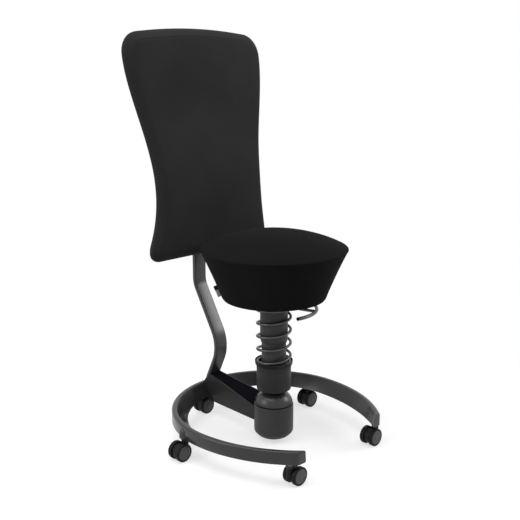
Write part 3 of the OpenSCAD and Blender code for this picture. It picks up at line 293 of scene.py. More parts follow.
def moulded(name, colour, rough, spec, grain=900, strength=0.18):
    """Moulded plastic or rubber with a fine sparked grain."""
    m, nt, bsdf = new_material(name)
    co = nt.nodes.new("ShaderNodeTexCoord").outputs["Object"]
    c = np.array(colour)
    big = noise(nt, co, 14, 2)
    nt.links.new(ramp(nt, big, tuple(c * (1 - 0.1)), tuple(c * (1 + 0.1))), bsdf.inputs["Base Color"])
    nt.links.new(map_range(nt, noise(nt, co, 60, 3), rough - 0.08, rough + 0.08), bsdf.inputs["Roughness"])
    bsdf.inputs["Specular IOR Level"].default_value = spec
    v = nt.nodes.new("ShaderNodeTexVoronoi")
    v.inputs["Scale"].default_value = grain
    nt.links.new(co, v.inputs["Vector"])
    pits = v.outputs["Distance"]
    nt.links.new(bump(nt, pits, strength, 0.0002, soft_edges(nt, 0.0006)), bsdf.inputs["Normal"])
    return m


def bright_steel(name, colour, rough, grain=700):
    """Bare or plated steel with a faint uneven polish."""
    m, nt, bsdf = new_material(name)
    co = nt.nodes.new("ShaderNodeTexCoord").outputs["Object"]
    c = np.array(colour)
    nt.links.new(ramp(nt, noise(nt, co, 25, 3), tuple(c * 0.9), tuple(c * 1.1)), bsdf.inputs["Base Color"])
    nt.links.new(map_range(nt, noise(nt, co, 90, 3), rough - 0.05, rough + 0.07), bsdf.inputs["Roughness"])
    bsdf.inputs["Metallic"].default_value = 0.85
    nt.links.new(bump(nt, noise(nt, co, grain, 3), 0.08, 0.0001), bsdf.inputs["Normal"])
    return m


def knit(name, colour, light, sheen=0.05, cell=1100, deep=0.0003, spec=0.04):
    """A dense fine-knit cover: small crowded stitches, fuzz and slight colour variation."""
    m, nt, bsdf = new_material(name)
    co = nt.nodes.new("ShaderNodeTexCoord").outputs["Object"]
    stitch = nt.nodes.new("ShaderNodeTexVoronoi")
    stitch.inputs["Scale"].default_value = cell
    nt.links.new(co, stitch.inputs["Vector"])
    fuzz = noise(nt, co, 2600, 3, 0.7)
    add = nt.nodes.new("ShaderNodeMath")
    add.operation = "ADD"
    nt.links.new(stitch.outputs["Distance"], add.inputs[0])
    nt.links.new(fuzz, add.inputs[1])
    c, l = np.array(colour), np.array(light)
    half = map_range(nt, add.outputs[0], 0, 1)
    half.node.inputs["From Max"].default_value = 1.5
    base = ramp(nt, half, tuple(l), tuple(c), 0.25, 0.75)
    big = ramp(nt, noise(nt, co, 6, 3), (0.88, 0.88, 0.88), (1.12, 1.12, 1.12))
    mix = nt.nodes.new("ShaderNodeMix")
    mix.data_type = "RGBA"
    mix.blend_type = "MULTIPLY"
    mix.inputs["Factor"].default_value = 1.0
    nt.links.new(base, mix.inputs[6])
    nt.links.new(big, mix.inputs[7])
    nt.links.new(mix.outputs[2], bsdf.inputs["Base Color"])
    bsdf.inputs["Roughness"].default_value = 0.95
    bsdf.inputs["Specular IOR Level"].default_value = spec
    bsdf.inputs["Sheen Weight"].default_value = sheen
    bsdf.inputs["Sheen Roughness"].default_value = 0.5
    wide = bump(nt, noise(nt, co, 30, 2), 0.10, 0.002)
    nt.links.new(bump(nt, half, 0.3, deep, wide), bsdf.inputs["Normal"])
    return m


M = {
    "ring": coat_metal("ring_coat", (0.029, 0.029, 0.0295), rough=0.25, spec=0.36),
    "upright": coat_metal("upright_coat", (0.022, 0.022, 0.023), rough=0.34, spec=0.58),
    "arm": coat_metal("arm_coat", (0.019, 0.019, 0.020), rough=0.46, spec=0.15),
    "pot": coat_metal("pot_coat", (0.054, 0.054, 0.055), rough=0.46, spec=0.15),
    "cap": coat_metal("cap_coat", (0.034, 0.034, 0.035), rough=0.30, strength=0.05, spec=0.4),
    "tube": coat_metal("tube_coat", (0.025, 0.025, 0.0255), rough=0.44, spec=0.18),
    "guide": coat_metal("guide_coat", (0.046, 0.046, 0.047), rough=0.44, spec=0.2),
    "sleeve": moulded("sleeve_plastic", (0.046, 0.046, 0.047), rough=0.48, spec=0.18),
    "steel": bright_steel("spring_steel", (0.080, 0.080, 0.082), rough=0.34),
    "chrome": bright_steel("polished_steel", (0.50, 0.50, 0.51), rough=0.14, grain=300),
    "screw": bright_steel("screw_steel", (0.22, 0.22, 0.23), rough=0.34),
    "rubber": moulded("black_rubber", (0.006, 0.006, 0.0065), rough=0.65, grain=600, spec=0.1),
    "cover": moulded("tread_cover", (0.0052, 0.0044, 0.0075), rough=0.85, spec=0.02, grain=420,
                     strength=0.35),
    "plastic": moulded("black_plastic", (0.009, 0.009, 0.0095), rough=0.5, spec=0.15),
    "cup": moulded("cup_plastic", (0.005, 0.005, 0.0052), rough=0.36, spec=0.2),
    "tread": moulded("wheel_tread", (0.007, 0.007, 0.0075), rough=0.5, spec=0.12),
    "hub": moulded("wheel_hub", (0.088, 0.088, 0.090), rough=0.52, grain=700, spec=0.2),
    "neck": moulded("caster_neck", (0.026, 0.026, 0.0265), rough=0.5, grain=700, spec=0.2),
    "shell": moulded("shell_plastic", (0.009, 0.009, 0.0095), rough=0.5, spec=0.2),
    "fabric_back": knit("back_cover", (0.026, 0.026, 0.0263), (0.035, 0.035, 0.0353), sheen=0.03),
    "fabric_seat": knit("seat_cover", (0.0085, 0.0085, 0.0087), (0.0115, 0.0115, 0.0117), sheen=0.01,
                        spec=0.02),
    "tag": knit("tag_cloth", (0.30, 0.30, 0.29), (0.42, 0.42, 0.41), cell=2600, deep=0.0001),
    "tag_dark": knit("tag_cloth_dark", (0.012, 0.012, 0.0125), (0.018, 0.018, 0.0185), cell=2600,
                     deep=0.0001),
}


def dress(node, mat):
    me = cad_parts[node].data
    me.materials.clear()
    me.materials.append(M[mat])


for node, mat in {
        "rear_arm": "arm", "tilt_cup_lower": "rubber", "tilt_cup_upper": "rubber",
        "upright_screws": "screw", "caster_stems": "screw", "grip_rings": "screw", "tilt_ring": "screw",
        "column_post": "steel", "guide_bush": "plastic", "lift_outer_tube": "tube",
        "lift_liner": "plastic", "thrust_bearing": "screw", "piston_rod": "chrome", "rod_clip": "screw",
        "pressure_tube": "chrome", "seat_mount": "tube", "seat_board": "plastic", "seat_screws": "screw",
        "lever_pin": "screw", "release_pin": "screw", "back_carrier": "plastic",
        "carrier_screws": "screw", "clamp_pad": "rubber", "clamp_knob": "plastic", "arm_cover": "cover",
        "foot_ring": "ring", "pot": "pot", "pot_collar": "pot", "seal_ring": "rubber", "boot_cap": "cap",
        "upright": "upright", "lower_tube": "tube", "spring_cup": "cup", "guide_tube": "guide",
        "coil_spring": "steel", "preload_ring": "tube", "slide_sleeve": "sleeve", "top_dish": "tube",
        "seat_cushion": "fabric_seat", "seat_tag": "tag", "height_lever": "steel",
        "lever_caps": "rubber", "back_shell": "shell", "back_cushion": "fabric_back"}.items():
    dress(node, mat)
for k in range(1, 6):
    dress("caster_%d_hood" % k, "plastic")
    dress("caster_%d_wheel_a" % k, "tread")
    dress("caster_%d_wheel_b" % k, "tread")


# ---------------------------------------------------------------- foot ring
def ring_outline(hollow, width):
    """Section as (depth in from the outer wall, height); width is that of the underside."""
    lean = math.atan((width - RING_W) / RING_H)
    outer = [(1.2, RING_LOW), (0.35, RING_LOW + 0.35), (0.0, RING_LOW + 1.2)]
    outer += arc(RING_EDGE, RING_TOP - RING_EDGE, RING_EDGE, 180, 90, 6)
    outer += arc(RING_W - RING_EDGE, RING_TOP - RING_EDGE, RING_EDGE, 90, math.degrees(lean), 6)
    outer += [(width - 1.6, RING_LOW + 2.0), (width - 0.9, RING_LOW + 0.5), (width - 2.0, RING_LOW)]
    if hollow:
        off = RING_WALL / math.cos(lean)
        outer += [(width - off, RING_LOW), (RING_W - off + RING_WALL * math.tan(lean), RING_TOP - RING_WALL),
                  (RING_WALL, RING_TOP - RING_WALL), (RING_WALL, RING_LOW)]
    return outer


def arm_point(t, d):
    """Plan of a point d inside the +X arm's outer wall, t of the way from the back (0) to the end (1)."""
    r = RING_FRONT_R - d
    a = -t * math.asin(END_D / r)
    return ARM_X + r * math.cos(a), RING_Y + r * math.sin(a)


def arm_width(t):
    """Width of the underside at t, where the flatter cone pares the inner wall down."""
    lo, hi = RING_W + 2, RING_W + RING_LEAN
    for _ in range(30):
        m = (lo + hi) / 2
        x, y = arm_point(t, m)
        if math.hypot(x + PARE_X, y - RING_Y) > PARE_R:
            lo = m
        else:
            hi = m
    return lo


def ring_loop(s, hollow, shrink=0.0):
    """s runs from the +X end (-1) over the back (0 to 1) to the -X end (2)."""
    width = RING_W + RING_LEAN if 0 <= s <= 1 else arm_width(-s if s < 0 else s - 1)
    mid = ((RING_W + width) / 2, (RING_TOP + RING_LOW) / 2)
    out = []
    for d, z in ring_outline(hollow, width):
        if shrink:
            d += shrink * (1 if d < mid[0] else -1)
            z += shrink * (-1 if z > mid[1] else 0)
        if s < 0:
            x, y = arm_point(-s, d)
        elif s > 1:
            x, y = arm_point(s - 1, d)
            x = -x
        else:
            a = math.pi * s
            x, y = (RING_R - d) * math.cos(a), RING_Y + (RING_R - d) * math.sin(a)
        out.append((x, y, z))
    return out


shell = Shell()
ARM_LEN = RING_FRONT_R * math.asin(END_D / RING_FRONT_R)
end = 5.0 / ARM_LEN
stations = [-(1 - end) + (1 - end) * i / 60 for i in range(60)]
stations += [i / 110 for i in range(111)]
stations += [1 + (1 - end) * i / 60 for i in range(1, 61)]
shell.add(*sweep([ring_loop(s, True) for s in stations]))
for flip in (0, 1):
    stops = [(0.0, 1.7), (0.25 / ARM_LEN, 1.0), (0.8 / ARM_LEN, 0.4), (1.9 / ARM_LEN, 0.0), (end, 0.0)]
    shell.add(*sweep([ring_loop(2 - s if flip else -1 + s, False, k) for s, k in stops]))
for x, y in STEMS:
    boss = BOSS_REAR_R if y > 0 else BOSS_FRONT_R
    prof = [(0, RING_LOW), (boss, RING_LOW)] + arc(0, RING_LOW + BOSS_H, boss, 0, 90, 14)
    v, f = lathe(prof, 48)
    shell.add([(a + x, b + y, c) for a, b, c in v], f)
make("foot_ring_rail", shell.v, shell.f, M["ring"], "base", ["foot_ring"], smooth=38)


# ---------------------------------------------------------------- upright
def rounded_rect(w, t, r, n=5):
    return (arc(w - r, t - r, r, 0, 90, n) + arc(r - w, t - r, r, 90, 180, n)
            + arc(r - w, r - t, r, 180, 270, n) + arc(w - r, r - t, r, 270, 360, n))


low_start = (BAR_WAIST_Y + LOW_R * (1 - math.cos(LOW_LEAN)), BAR_WAIST_Z - LOW_R * math.sin(LOW_LEAN))
low_end = (BAR_WAIST_Y + LOW_R * (1 - math.cos(MID_LEAN)), BAR_WAIST_Z + LOW_R * math.sin(MID_LEAN))
mid_dy = BAR_TOP_Y - UP_R * (1 - math.cos(MID_LEAN)) - low_end[0]
mid_len = mid_dy / math.sin(MID_LEAN)
up_end_z = low_end[1] + mid_len * math.cos(MID_LEAN) + UP_R * math.sin(MID_LEAN)
foot_z = ARM_REAR_Z - 13
foot_y = low_start[0] + (low_start[1] - foot_z) * math.tan(LOW_LEAN)

path = [(foot_y, foot_z, -LOW_LEAN)]
for i in range(25):
    a = -LOW_LEAN + (LOW_LEAN + MID_LEAN) * i / 24
    path.append((BAR_WAIST_Y + LOW_R * (1 - math.cos(a)), BAR_WAIST_Z + LOW_R * math.sin(a), a))
for i in range(17):
    a = MID_LEAN * (1 - i / 16)
    path.append((BAR_TOP_Y - UP_R * (1 - math.cos(a)), up_end_z - UP_R * math.sin(a), a))
path.append((BAR_TOP_Y, BAR_TOP_Z - 2, 0.0))
rect = rounded_rect(BAR_W / 2, BAR_T / 2, 4.2)
loops = []
for y, z, a in path:
    loops.append([(x, y + t * math.cos(a), z - t * math.sin(a)) for x, t in rect])
loops.append([(x * 0.96, BAR_TOP_Y + t * 0.86, BAR_TOP_Z) for x, t in rect])
shell = Shell().add(*sweep(loops))


def arm_top(y):
    return ARM_FRONT_Z + (ARM_REAR_Z - ARM_FRONT_Z) / ARM_Y * y


plate_rear = (low_start[0] + (low_start[1] - ARM_REAR_Z) * math.tan(LOW_LEAN)
              - BAR_T / 2 / math.cos(LOW_LEAN) + 2)
drop = 3.6
v = []
for x in (-17.0, 17.0):
    for y in (160.0, plate_rear):
        for h in (0.0, 8.0):
            v.append((x, y, arm_top(y) - drop - h))
shell.add(v, [(0, 1, 3, 2), (4, 6, 7, 5), (0, 4, 5, 1), (2, 3, 7, 6), (0, 2, 6, 4), (1, 5, 7, 3)])
make("upright_bar", shell.v, shell.f, M["upright"], "base", ["upright"], smooth=30)


# ---------------------------------------------------------------- turned pieces of the column
def turned(name, profile, radii, mat, body, replaces, seg=128):
    v, f = lathe(rounded(profile, radii, 4), seg)
    return make(name, v, f, M[mat], body, replaces, smooth=34)


turned("pot_body", [(0, 10), (41, 10), (56, 25), (56, 98), (48, 98), (48, 18), (0, 18)],
       [0, 15, 15, 1.2, 0.4, 0, 0], "pot", "base", ["pot"])
turned("pot_clamp_collar", [(40, 98), (55.6, 98), (55.6, 106), (40, 106)], [0, 0.9, 1.4, 0.5],
       "pot", "base", ["pot_collar"])
CAP_R, CAP_ROUND, CAP_TOP, CAP_LOW, CAP_HOLE = 54.0, 38.0, 143.0, 110.0, 28.0
cap_z = CAP_TOP - CAP_ROUND
low_a = math.degrees(math.asin((CAP_LOW - cap_z) / CAP_ROUND))
high_a = math.degrees(math.acos((CAP_HOLE - CAP_R + CAP_ROUND) / CAP_ROUND))
low_b = math.degrees(math.asin((CAP_LOW - cap_z) / (CAP_ROUND - 4)))
high_b = math.degrees(math.acos((CAP_HOLE - CAP_R + CAP_ROUND) / (CAP_ROUND - 4)))
profile = arc(CAP_R - CAP_ROUND, cap_z, CAP_ROUND, low_a, high_a, 26)
profile += arc(CAP_R - CAP_ROUND, cap_z, CAP_ROUND - 4, high_b, low_b, 16)
v, f = lathe(profile, 128)
make("boot_cap_body", v, f, M["cap"], "base", ["boot_cap"], smooth=34)
turned("lower_tube_body", [(44.5, 151.5), (48.5, 151.5), (48.5, 213), (44.5, 213)], [0.8, 1.6, 0.6, 0],
       "tube", "column", ["lower_tube"])
turned("preload_ring_body", [(44.46, 213.3), (49.1, 213.3), (49.1, 223.7), (44.46, 223.7)], [0, 0.9, 0.9, 0],
       "tube", "preload", ["preload_ring"])

CUP_Z, CUP_FLOOR, DISH_Z, CUP_R = 224.0, 226.5, 392.0, 53.5
coil_r, wire_r, pitch = 46.5, 4.0, 37.6
rise_a, ease_a, flat_a = 133.5, 45.0, 225.0
low_z, high_z = CUP_FLOOR + wire_r + 0.05, DISH_Z - wire_r - 0.05
turn_a = 360 * (high_z - low_z) / pitch
start_a = rise_a - ease_a - flat_a
total_a = turn_a + 2 * (ease_a + flat_a)


def stop_block(a, way, low):
    """The small block that a wire's end rests against."""
    ys = (wire_r * 2 + 0.3, wire_r * 2 + 5.3) if way > 0 else (-wire_r * 2 - 5.3, -wire_r * 2 - 0.3)
    v, f = box_mesh(coil_r - wire_r + 0.5, coil_r + wire_r, ys[0], ys[1], low, low + 7)
    turn = Matrix.Rotation(math.radians(a), 3, "Z")
    return [tuple(turn @ Vector(p)) for p in v], f


lip = 1.2
profile = [(34.7, CUP_Z), (38.4, CUP_Z), (38.4, 171.5), (44.4, 171.5), (44.4, CUP_Z), (CUP_R - 3, CUP_Z)]
profile += [(CUP_R - 0.9, CUP_Z + 1.4), (CUP_R - 0.5, CUP_Z + 3)]
profile += arc(CUP_R - lip, 236 - lip, lip, -20, 180, 12)
profile += [(CUP_R - 2.4, CUP_FLOOR), (34.7, CUP_FLOOR)]
shell = Shell().add(*lathe(profile, 128)).add(*stop_block(start_a, -1, CUP_FLOOR - 0.5))
make("spring_cup_body", shell.v, shell.f, M["cup"], "column", ["spring_cup"], smooth=34)
turned("guide_tube_body", [(31, 161.5), (34.5, 161.5), (34.5, 313), (31, 313)], [0, 0.5, 0.8, 0.3],
       "guide", "column", ["guide_tube"])
turned("slide_sleeve_body", [(34.56, 290), (36.5, 290), (38.8, 299), (38.8, 382), (34.56, 382)],
       [0.3, 1.2, 2.5, 0.3, 0], "sleeve", "bounce", ["slide_sleeve"])
shell = Shell().add(*lathe(rounded(
    [(25.05, 382), (38.8, 382), (38.8, 392), (51, 392), (51, 394.5), (48.5, 397), (25.05, 397)],
    [0, 0.6, 0.6, 0.6, 1.0, 1.0, 0.3], 4), 128)).add(*stop_block(start_a + total_a, 1, 385.5))
make("top_dish_body", shell.v, shell.f, M["tube"], "bounce", ["top_dish"], smooth=34)


# ---------------------------------------------------------------- coil spring
def eased(a):
    return 0 if a < -ease_a else a if a > ease_a else (a + ease_a) ** 2 / (4 * ease_a)


def coil_height(a):
    return low_z + (eased(a - rise_a) - eased(a - rise_a - turn_a)) * pitch / 360


def coil_tail(a, way, far):
    r = math.radians(a)
    return (coil_r * math.cos(r) - way * far * math.sin(r), coil_r * math.sin(r) + way * far * math.cos(r),
            coil_height(a))


steps = int(total_a / 9)
wire = [coil_tail(start_a, -1, 8), coil_tail(start_a, -1, 4)]
wire += [(coil_r * math.cos(math.radians(start_a + total_a * i / steps)),
          coil_r * math.sin(math.radians(start_a + total_a * i / steps)),
          coil_height(start_a + total_a * i / steps)) for i in range(steps + 1)]
wire += [coil_tail(start_a + total_a, 1, 4), coil_tail(start_a + total_a, 1, 8)]
v, f = tube(wire, wire_r * 0.985, 16)
spring = make("coil_spring_wire", v, f, M["steel"], "column", ["coil_spring"], smooth=50)
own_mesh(spring)


# ---------------------------------------------------------------- height lever
u = Vector((math.cos(LEVER_A), math.sin(LEVER_A), 0))
shell = Shell()
grip = []
for i in range(49):
    a = LEVER_A - GRIP_HALF + 2 * GRIP_HALF * i / 48
    grip.append((GRIP_R * math.cos(a), GRIP_R * math.sin(a), GRIP_Z))
shell.add(*tube(grip, LEVER_ROD + GRIP_THICKER, 16))
arm_path = [tuple(u * r + Vector((0, 0, z))) for r, z in
            ((34, 409.55), (38, 409.45), (54, 409.1), (57.5, 408.8), (59.8, 407.6), (61, 405.4), (64, 399.6),
             (66.6, 393.9), (67.6, 391.2), (69.2, 389.5), (72, 389.0), (90, 387.4), (112, 385.5), (118, 385))]
shell.add(*tube(arm_path, LEVER_ROD - ARM_THINNER, 16))
press_top = 406.5
bar_z = press_top + 3.8
v, f = box_mesh(-3.5, 46, -3.5, 3.5, bar_z, bar_z + 4.7)
turn = Matrix.Rotation(LEVER_A, 3, "Z")
shell.add([tuple(turn @ Vector(p)) for p in v], f)
eye = Matrix.Rotation(LEVER_A, 4, "Z") @ Matrix.Translation((38, 0, bar_z + 2.35)) @ Matrix.Rotation(
    math.pi / 2, 4, "X")
v, f = lathe([(1.56, -3.5), (3.4, -3.5), (3.4, 3.5), (1.56, 3.5)], 32)
shell.add([tuple(eye @ Vector(p)) for p in v], f)
make("height_lever_rod", shell.v, shell.f, M["steel"], "lever", ["height_lever"], smooth=40)


# ---------------------------------------------------------------- casters
def wheel_profiles():
    """Tread shell and hub disc of one wheel; x is radius, y the distance from the hood's side."""
    tread = [(7.5, 0), (7.5, 7.5), (20, 7.5), (20, 0), (24, 0), (25, 1.4), (25, 11.4), (24.2, 12.6),
             (22.6, 13.2), (20.2, 13.2), (20.0, 12.2), (3.06, 12.2), (3.06, 0)]
    hub = [(0, 12.0), (19.7, 12.0), (19.7, 12.55), (18.8, 12.95), (11, 13.1), (10.4, 12.75), (9.6, 12.75),
           (9.0, 13.1), (0, 13.15)]
    return tread, hub


tread, hub = wheel_profiles()
for k, (x, y) in enumerate(STEMS, 1):
    for w, sgn in (("a", 1), ("b", -1)):
        place = Matrix.Translation((x + TRAIL_WAY[k - 1] * TRAIL, y, WHEEL_R)) @ Matrix.Rotation(
            -math.pi / 2 * sgn * (1 if k != 1 else -1), 4, "X") @ Matrix.Translation((0, 0, WHEEL_GAP / 2))
        node = "caster_%d_wheel_%s" % (k, w)
        v, f = lathe(rounded(tread, [0.3, 0.3, 0.3, 0.3, 0.5, 1.2, 1.2, 0.8, 0.8, 0.4, 0.2, 0, 0], 3), 64)
        v = [tuple(place @ Vector(p)) for p in v]
        make(node + "_tread", v, f, M["tread"], node, [node], smooth=36)
        v, f = lathe(hub, 64)
        v = [tuple(place @ Vector(p)) for p in v]
        make(node + "_disc", v, f, M["hub"], node, smooth=30)
    v, f = lathe(rounded([(0, 50.9), (10.6, 50.9), (10.6, 57.1), (0, 57.1)], [0, 0.8, 0.8, 0], 3), 48)
    v = [(a + x, b + y, c) for a, b, c in v]
    make("caster_%d_neck" % k, v, f, M["neck"], "caster_%d" % k, smooth=34)


# ---------------------------------------------------------------- padding
def puffed(verts, faces, held, voxel=6.0, cap=4.0, pressure=4.0):
    """A cover blown up by its padding in a cloth simulation; held(p) is true where a seam keeps it down."""
    scene = bpy.context.scene
    me = bpy.data.meshes.new("padding")
    me.from_pydata([tuple(c * MM for c in p) for p in verts], [], [tuple(f) for f in faces])
    me.update()
    ob = bpy.data.objects.new("padding", me)
    scene.collection.objects.link(ob)
    grid = ob.modifiers.new("grid", "REMESH")
    grid.mode = "VOXEL"
    grid.voxel_size = voxel * MM
    blown = bpy.data.meshes.new_from_object(ob.evaluated_get(bpy.context.evaluated_depsgraph_get()))
    ob.modifiers.clear()
    ob.data = blown
    rest = np.array([v.co[:] for v in blown.vertices])
    seam = ob.vertex_groups.new(name="seam")
    seam.add([i for i, p in enumerate(rest) if held(p / MM)], 1.0, "REPLACE")
    cloth = ob.modifiers.new("cloth", "CLOTH")
    cloth.settings.quality = 5
    cloth.settings.use_pressure = True
    cloth.settings.uniform_pressure_force = pressure
    cloth.settings.effector_weights.gravity = 0.0
    cloth.settings.vertex_group_mass = "seam"
    cloth.point_cache.frame_start, cloth.point_cache.frame_end = 1, 20
    for f in range(1, 21):
        scene.frame_set(f)
    made = ob.evaluated_get(bpy.context.evaluated_depsgraph_get()).data
    move = (np.array([v.co[:] for v in made.vertices]) - rest) / MM
    ob.modifiers.clear()
    scene.frame_set(1)
    length = np.linalg.norm(move, axis=1)
    print("padding", len(rest), "points, mean move", round(float(length.mean()), 2))
    move *= (cap * np.tanh(length / cap) / np.maximum(length, 1e-6))[:, None]
    tree = kdtree.KDTree(len(rest))
    for i, p in enumerate(rest):
        tree.insert(p, i)
    tree.balance()
    out = []
    for p in verts:
        near = tree.find_n(tuple(c * MM for c in p), 8)
        w = np.array([1.0 / (d + 0.002) ** 2 for _, _, d in near])
        shift = (move[[i for _, i, _ in near]] * w[:, None]).sum(0) / w.sum()
        out.append(tuple(round(float(c + m), 3) for c, m in zip(p, shift)))
    bpy.data.objects.remove(ob)
    return out


# ---------------------------------------------------------------- seat cushion
SEAT_SWELL = 4.5
RIM_R, RIM_Z = SEAT_R + 2.6, SEAT_RIM_Z + SEAT_SWELL


def seat_profile():
    """Outline of the cushion from the middle of the dome out, down the side and in underneath."""
    crown = SEAT_CROWN + 1.3
    dome_r = (RIM_R ** 2 + crown ** 2) / (2 * crown)
    dome_z = RIM_Z + crown - dome_r
    pts = []
    for i in range(29):
        a = math.radians(90) - (math.radians(90) - math.acos((RIM_R - 3.2) / dome_r)) * i / 28
        fuller = 0.8 * math.sin(math.pi * min(1, (i / 28)) ** 2.2)
        pts.append((dome_r * math.cos(a), dome_z + dome_r * math.sin(a) + fuller))
    pts += [(RIM_R - 1.7, RIM_Z + 0.1), (RIM_R - 0.4, RIM_Z - 0.8), (RIM_R - 0.15, RIM_Z - 2.2),
            (RIM_R - 0.9, RIM_Z - 3.8), (RIM_R - 2.4, RIM_Z - 5.4)]
    low = (SEAT_LOW_R + 2.2, SEAT_Z + 7.0)
    top = (RIM_R - 4.2, RIM_Z - 9.5)
    n = 18
    for i in range(n + 1):
        t = i / n
        pull = 1.6 * 4 * t * (1 - t)
        pts.append((top[0] + (low[0] - top[0]) * t - pull * 0.93, top[1] + (low[1] - top[1]) * t))
    pts += [(SEAT_LOW_R + 0.4, SEAT_Z + 3.2), (SEAT_LOW_R - 1.8, SEAT_Z + 0.6),
            (SEAT_LOW_R - 5.0, SEAT_Z - 0.6), (SEAT_LOW_R - 10.0, SEAT_Z - 0.6)]
    pts += [(126.4, SEAT_Z), (126.4, SEAT_Z + 8.4), (60, SEAT_Z + 8.4), (0, SEAT_Z + 8.4)]
    return pts


prof = seat_profile()
SEG = 144
verts, faces = [], []
rng = np.random.RandomState(7)
ph = rng.uniform(0, 6.28, 6)
for s in range(SEG):
    a = 2 * math.pi * s / SEG
    for i, (r, z) in enumerate(prof):
        if 35 <= i <= 51:
            r += 0.35 * math.sin(3 * a + ph[0]) + 0.25 * math.sin(7 * a + ph[1]) + 0.2 * math.sin(
                13 * a + ph[2] + z * 0.03)
        if i < 29:
            z += 0.3 * math.sin(2 * a + ph[3] + r * 0.02) * min(1, r / 60)
        verts.append((r * math.cos(a), r * math.sin(a), z))
K = len(prof)
for s in range(SEG):
    t = (s + 1) % SEG
    for i in range(K - 1):
        faces.append((s * K + i, s * K + i + 1, t * K + i + 1, t * K + i))
verts = puffed(verts, faces, lambda p: p[2] < SEAT_Z + 13 or
               (math.hypot(p[0], p[1]) > RIM_R - 7 and p[2] > RIM_Z - 7), cap=3.5)
seat = make("seat_pad", verts, faces, M["fabric_seat"], "seat", ["seat_cushion"], smooth=60)


TAG_A, TAG_LEN, TAG_OUT = math.radians(142), 33.0, 9.4


def tag_strip(s0, s1, n):
    """A stretch of the folded ribbon between two heights along the cushion's side."""
    lean = math.atan2(SEAT_R - SEAT_LOW_R, SEAT_RIM_Z - SEAT_Z)
    root = Vector((SEAT_LOW_R + 11 * math.tan(lean) - 5.5, 0, SEAT_Z + 11))
    along = Vector((math.sin(lean), 0, math.cos(lean)))
    out = Vector((math.cos(lean), 0, -math.sin(lean)))
    turn = Matrix.Rotation(TAG_A, 3, "Z")
    secs = []
    for i in range(n + 1):
        s = s0 + (s1 - s0) * i / n
        sway = 0.5 * math.sin(s * 0.16)
        deep = TAG_OUT + 4 + 0.35 * math.sin(s * 0.25 + 1)
        loop = [(0, 0.55), (deep * 0.5, 0.75), (deep - 1.4, 0.95)]
        loop += [(deep - 0.9 + 0.9 * math.cos(math.radians(a)), 0.95 * math.sin(math.radians(a)))
                 for a in (60, 30, 0, -30, -60)]
        loop += [(deep - 1.4, -0.95), (deep * 0.5, -0.75), (0, -0.55)]
        secs.append([tuple(turn @ (root + along * s + out * d + Vector((0, w + sway * d / deep, 0))))
                     for d, w in loop])
    return sweep(secs)


v, f = tag_strip(TAG_LEN * 0.62, TAG_LEN, 6)
make("seat_tag_upper", v, f, M["tag_dark"], "seat", ["seat_tag"], smooth=50)
v, f = tag_strip(0, TAG_LEN * 0.62, 8)
make("seat_tag_lower", v, f, M["tag"], "seat", smooth=50)


# ---------------------------------------------------------------- backrest
def smooth_step(t):
    t = max(0.0, min(1.0, t))
    return t * t * (3 - 2 * t)


LEAN_Z = BACK_LUMBAR_Z + BACK_CURVE_R * math.sin(BACK_LEAN)
LEAN_Y = BACK_Y + BACK_CURVE_R * (1 - math.cos(BACK_LEAN))
SHOULDER_Z = BACK_TOP_Z - BACK_ARCH - BACK_CORNER
HIP_Z = BACK_Z + BACK_LOW_CORNER
EDGE_X = BACK_TOP_W - BACK_CORNER


def back_mid(z):
    if z > LEAN_Z:
        return LEAN_Y + (z - LEAN_Z) * math.tan(BACK_LEAN)
    return BACK_Y + BACK_CURVE_R - math.sqrt(BACK_CURVE_R ** 2 - (z - BACK_LUMBAR_Z) ** 2)


def back_half(z):
    if z > BACK_WAIST_Z:
        return BACK_WAIST_W + (BACK_TOP_W - BACK_WAIST_W) * smooth_step(
            ((z - BACK_WAIST_Z) / (SHOULDER_Z - BACK_WAIST_Z)) ** 1.15)
    return BACK_WAIST_W + (BACK_LOW_W - BACK_WAIST_W) * ((BACK_WAIST_Z - z) / (BACK_WAIST_Z - HIP_Z)) ** 2


COVER_TOP, COVER_LOW = 4.5, 2.5


def back_outline(inset=0.0, top=0.0, low=0.0):
    """Front view of the backrest; top and low let the cover reach past the frame."""
    pts = []
    for k in range(8):
        pts.append(((BACK_LOW_W - BACK_LOW_CORNER) * k / 8, BACK_Z + inset - low))
    corner = arc(BACK_LOW_W - BACK_LOW_CORNER, HIP_Z, BACK_LOW_CORNER - inset, -90, -6, 12)
    pts += [(x, z - low) for x, z in corner]
    for i in range(1, 40):
        z = HIP_Z + (SHOULDER_Z - HIP_Z) * i / 40
        up, down = smooth_step((z - 900) / 200), smooth_step((600 - z) / 80)
        pts.append((back_half(z) - inset, z + top * up - low * down))
    pts += [(x, z + top) for x, z in arc(EDGE_X, SHOULDER_Z, BACK_CORNER - inset, 0, 84, 14)]
    for k in range(9, -1, -1):
        x = EDGE_X * k / 10
        pts.append((x, BACK_TOP_Z + top - inset - BACK_ARCH * (x / EDGE_X) ** 2))
    left = [(-x, z) for x, z in reversed(pts[1:-1])]
    return pts + left


def resample(pts, n):
    p = np.array(pts + [pts[0]], float)
    d = np.r_[0, np.cumsum(np.linalg.norm(np.diff(p, axis=0), axis=1))]
    t = np.linspace(0, d[-1], n, endpoint=False)
    return np.c_[np.interp(t, d, p[:, 0]), np.interp(t, d, p[:, 1])]


OUT = resample(back_outline(0.0, COVER_TOP, COVER_LOW), 220)
CENTRE = np.array([0.0, 820.0])


def outline_distance(p):
    a, b = OUT, np.roll(OUT, -1, axis=0)
    ab = b - a
    t = np.clip(((p - a) * ab).sum(1) / (ab * ab).sum(1), 0, 1)
    return float(np.sqrt((((a + ab * t[:, None]) - p) ** 2).sum(1)).min())


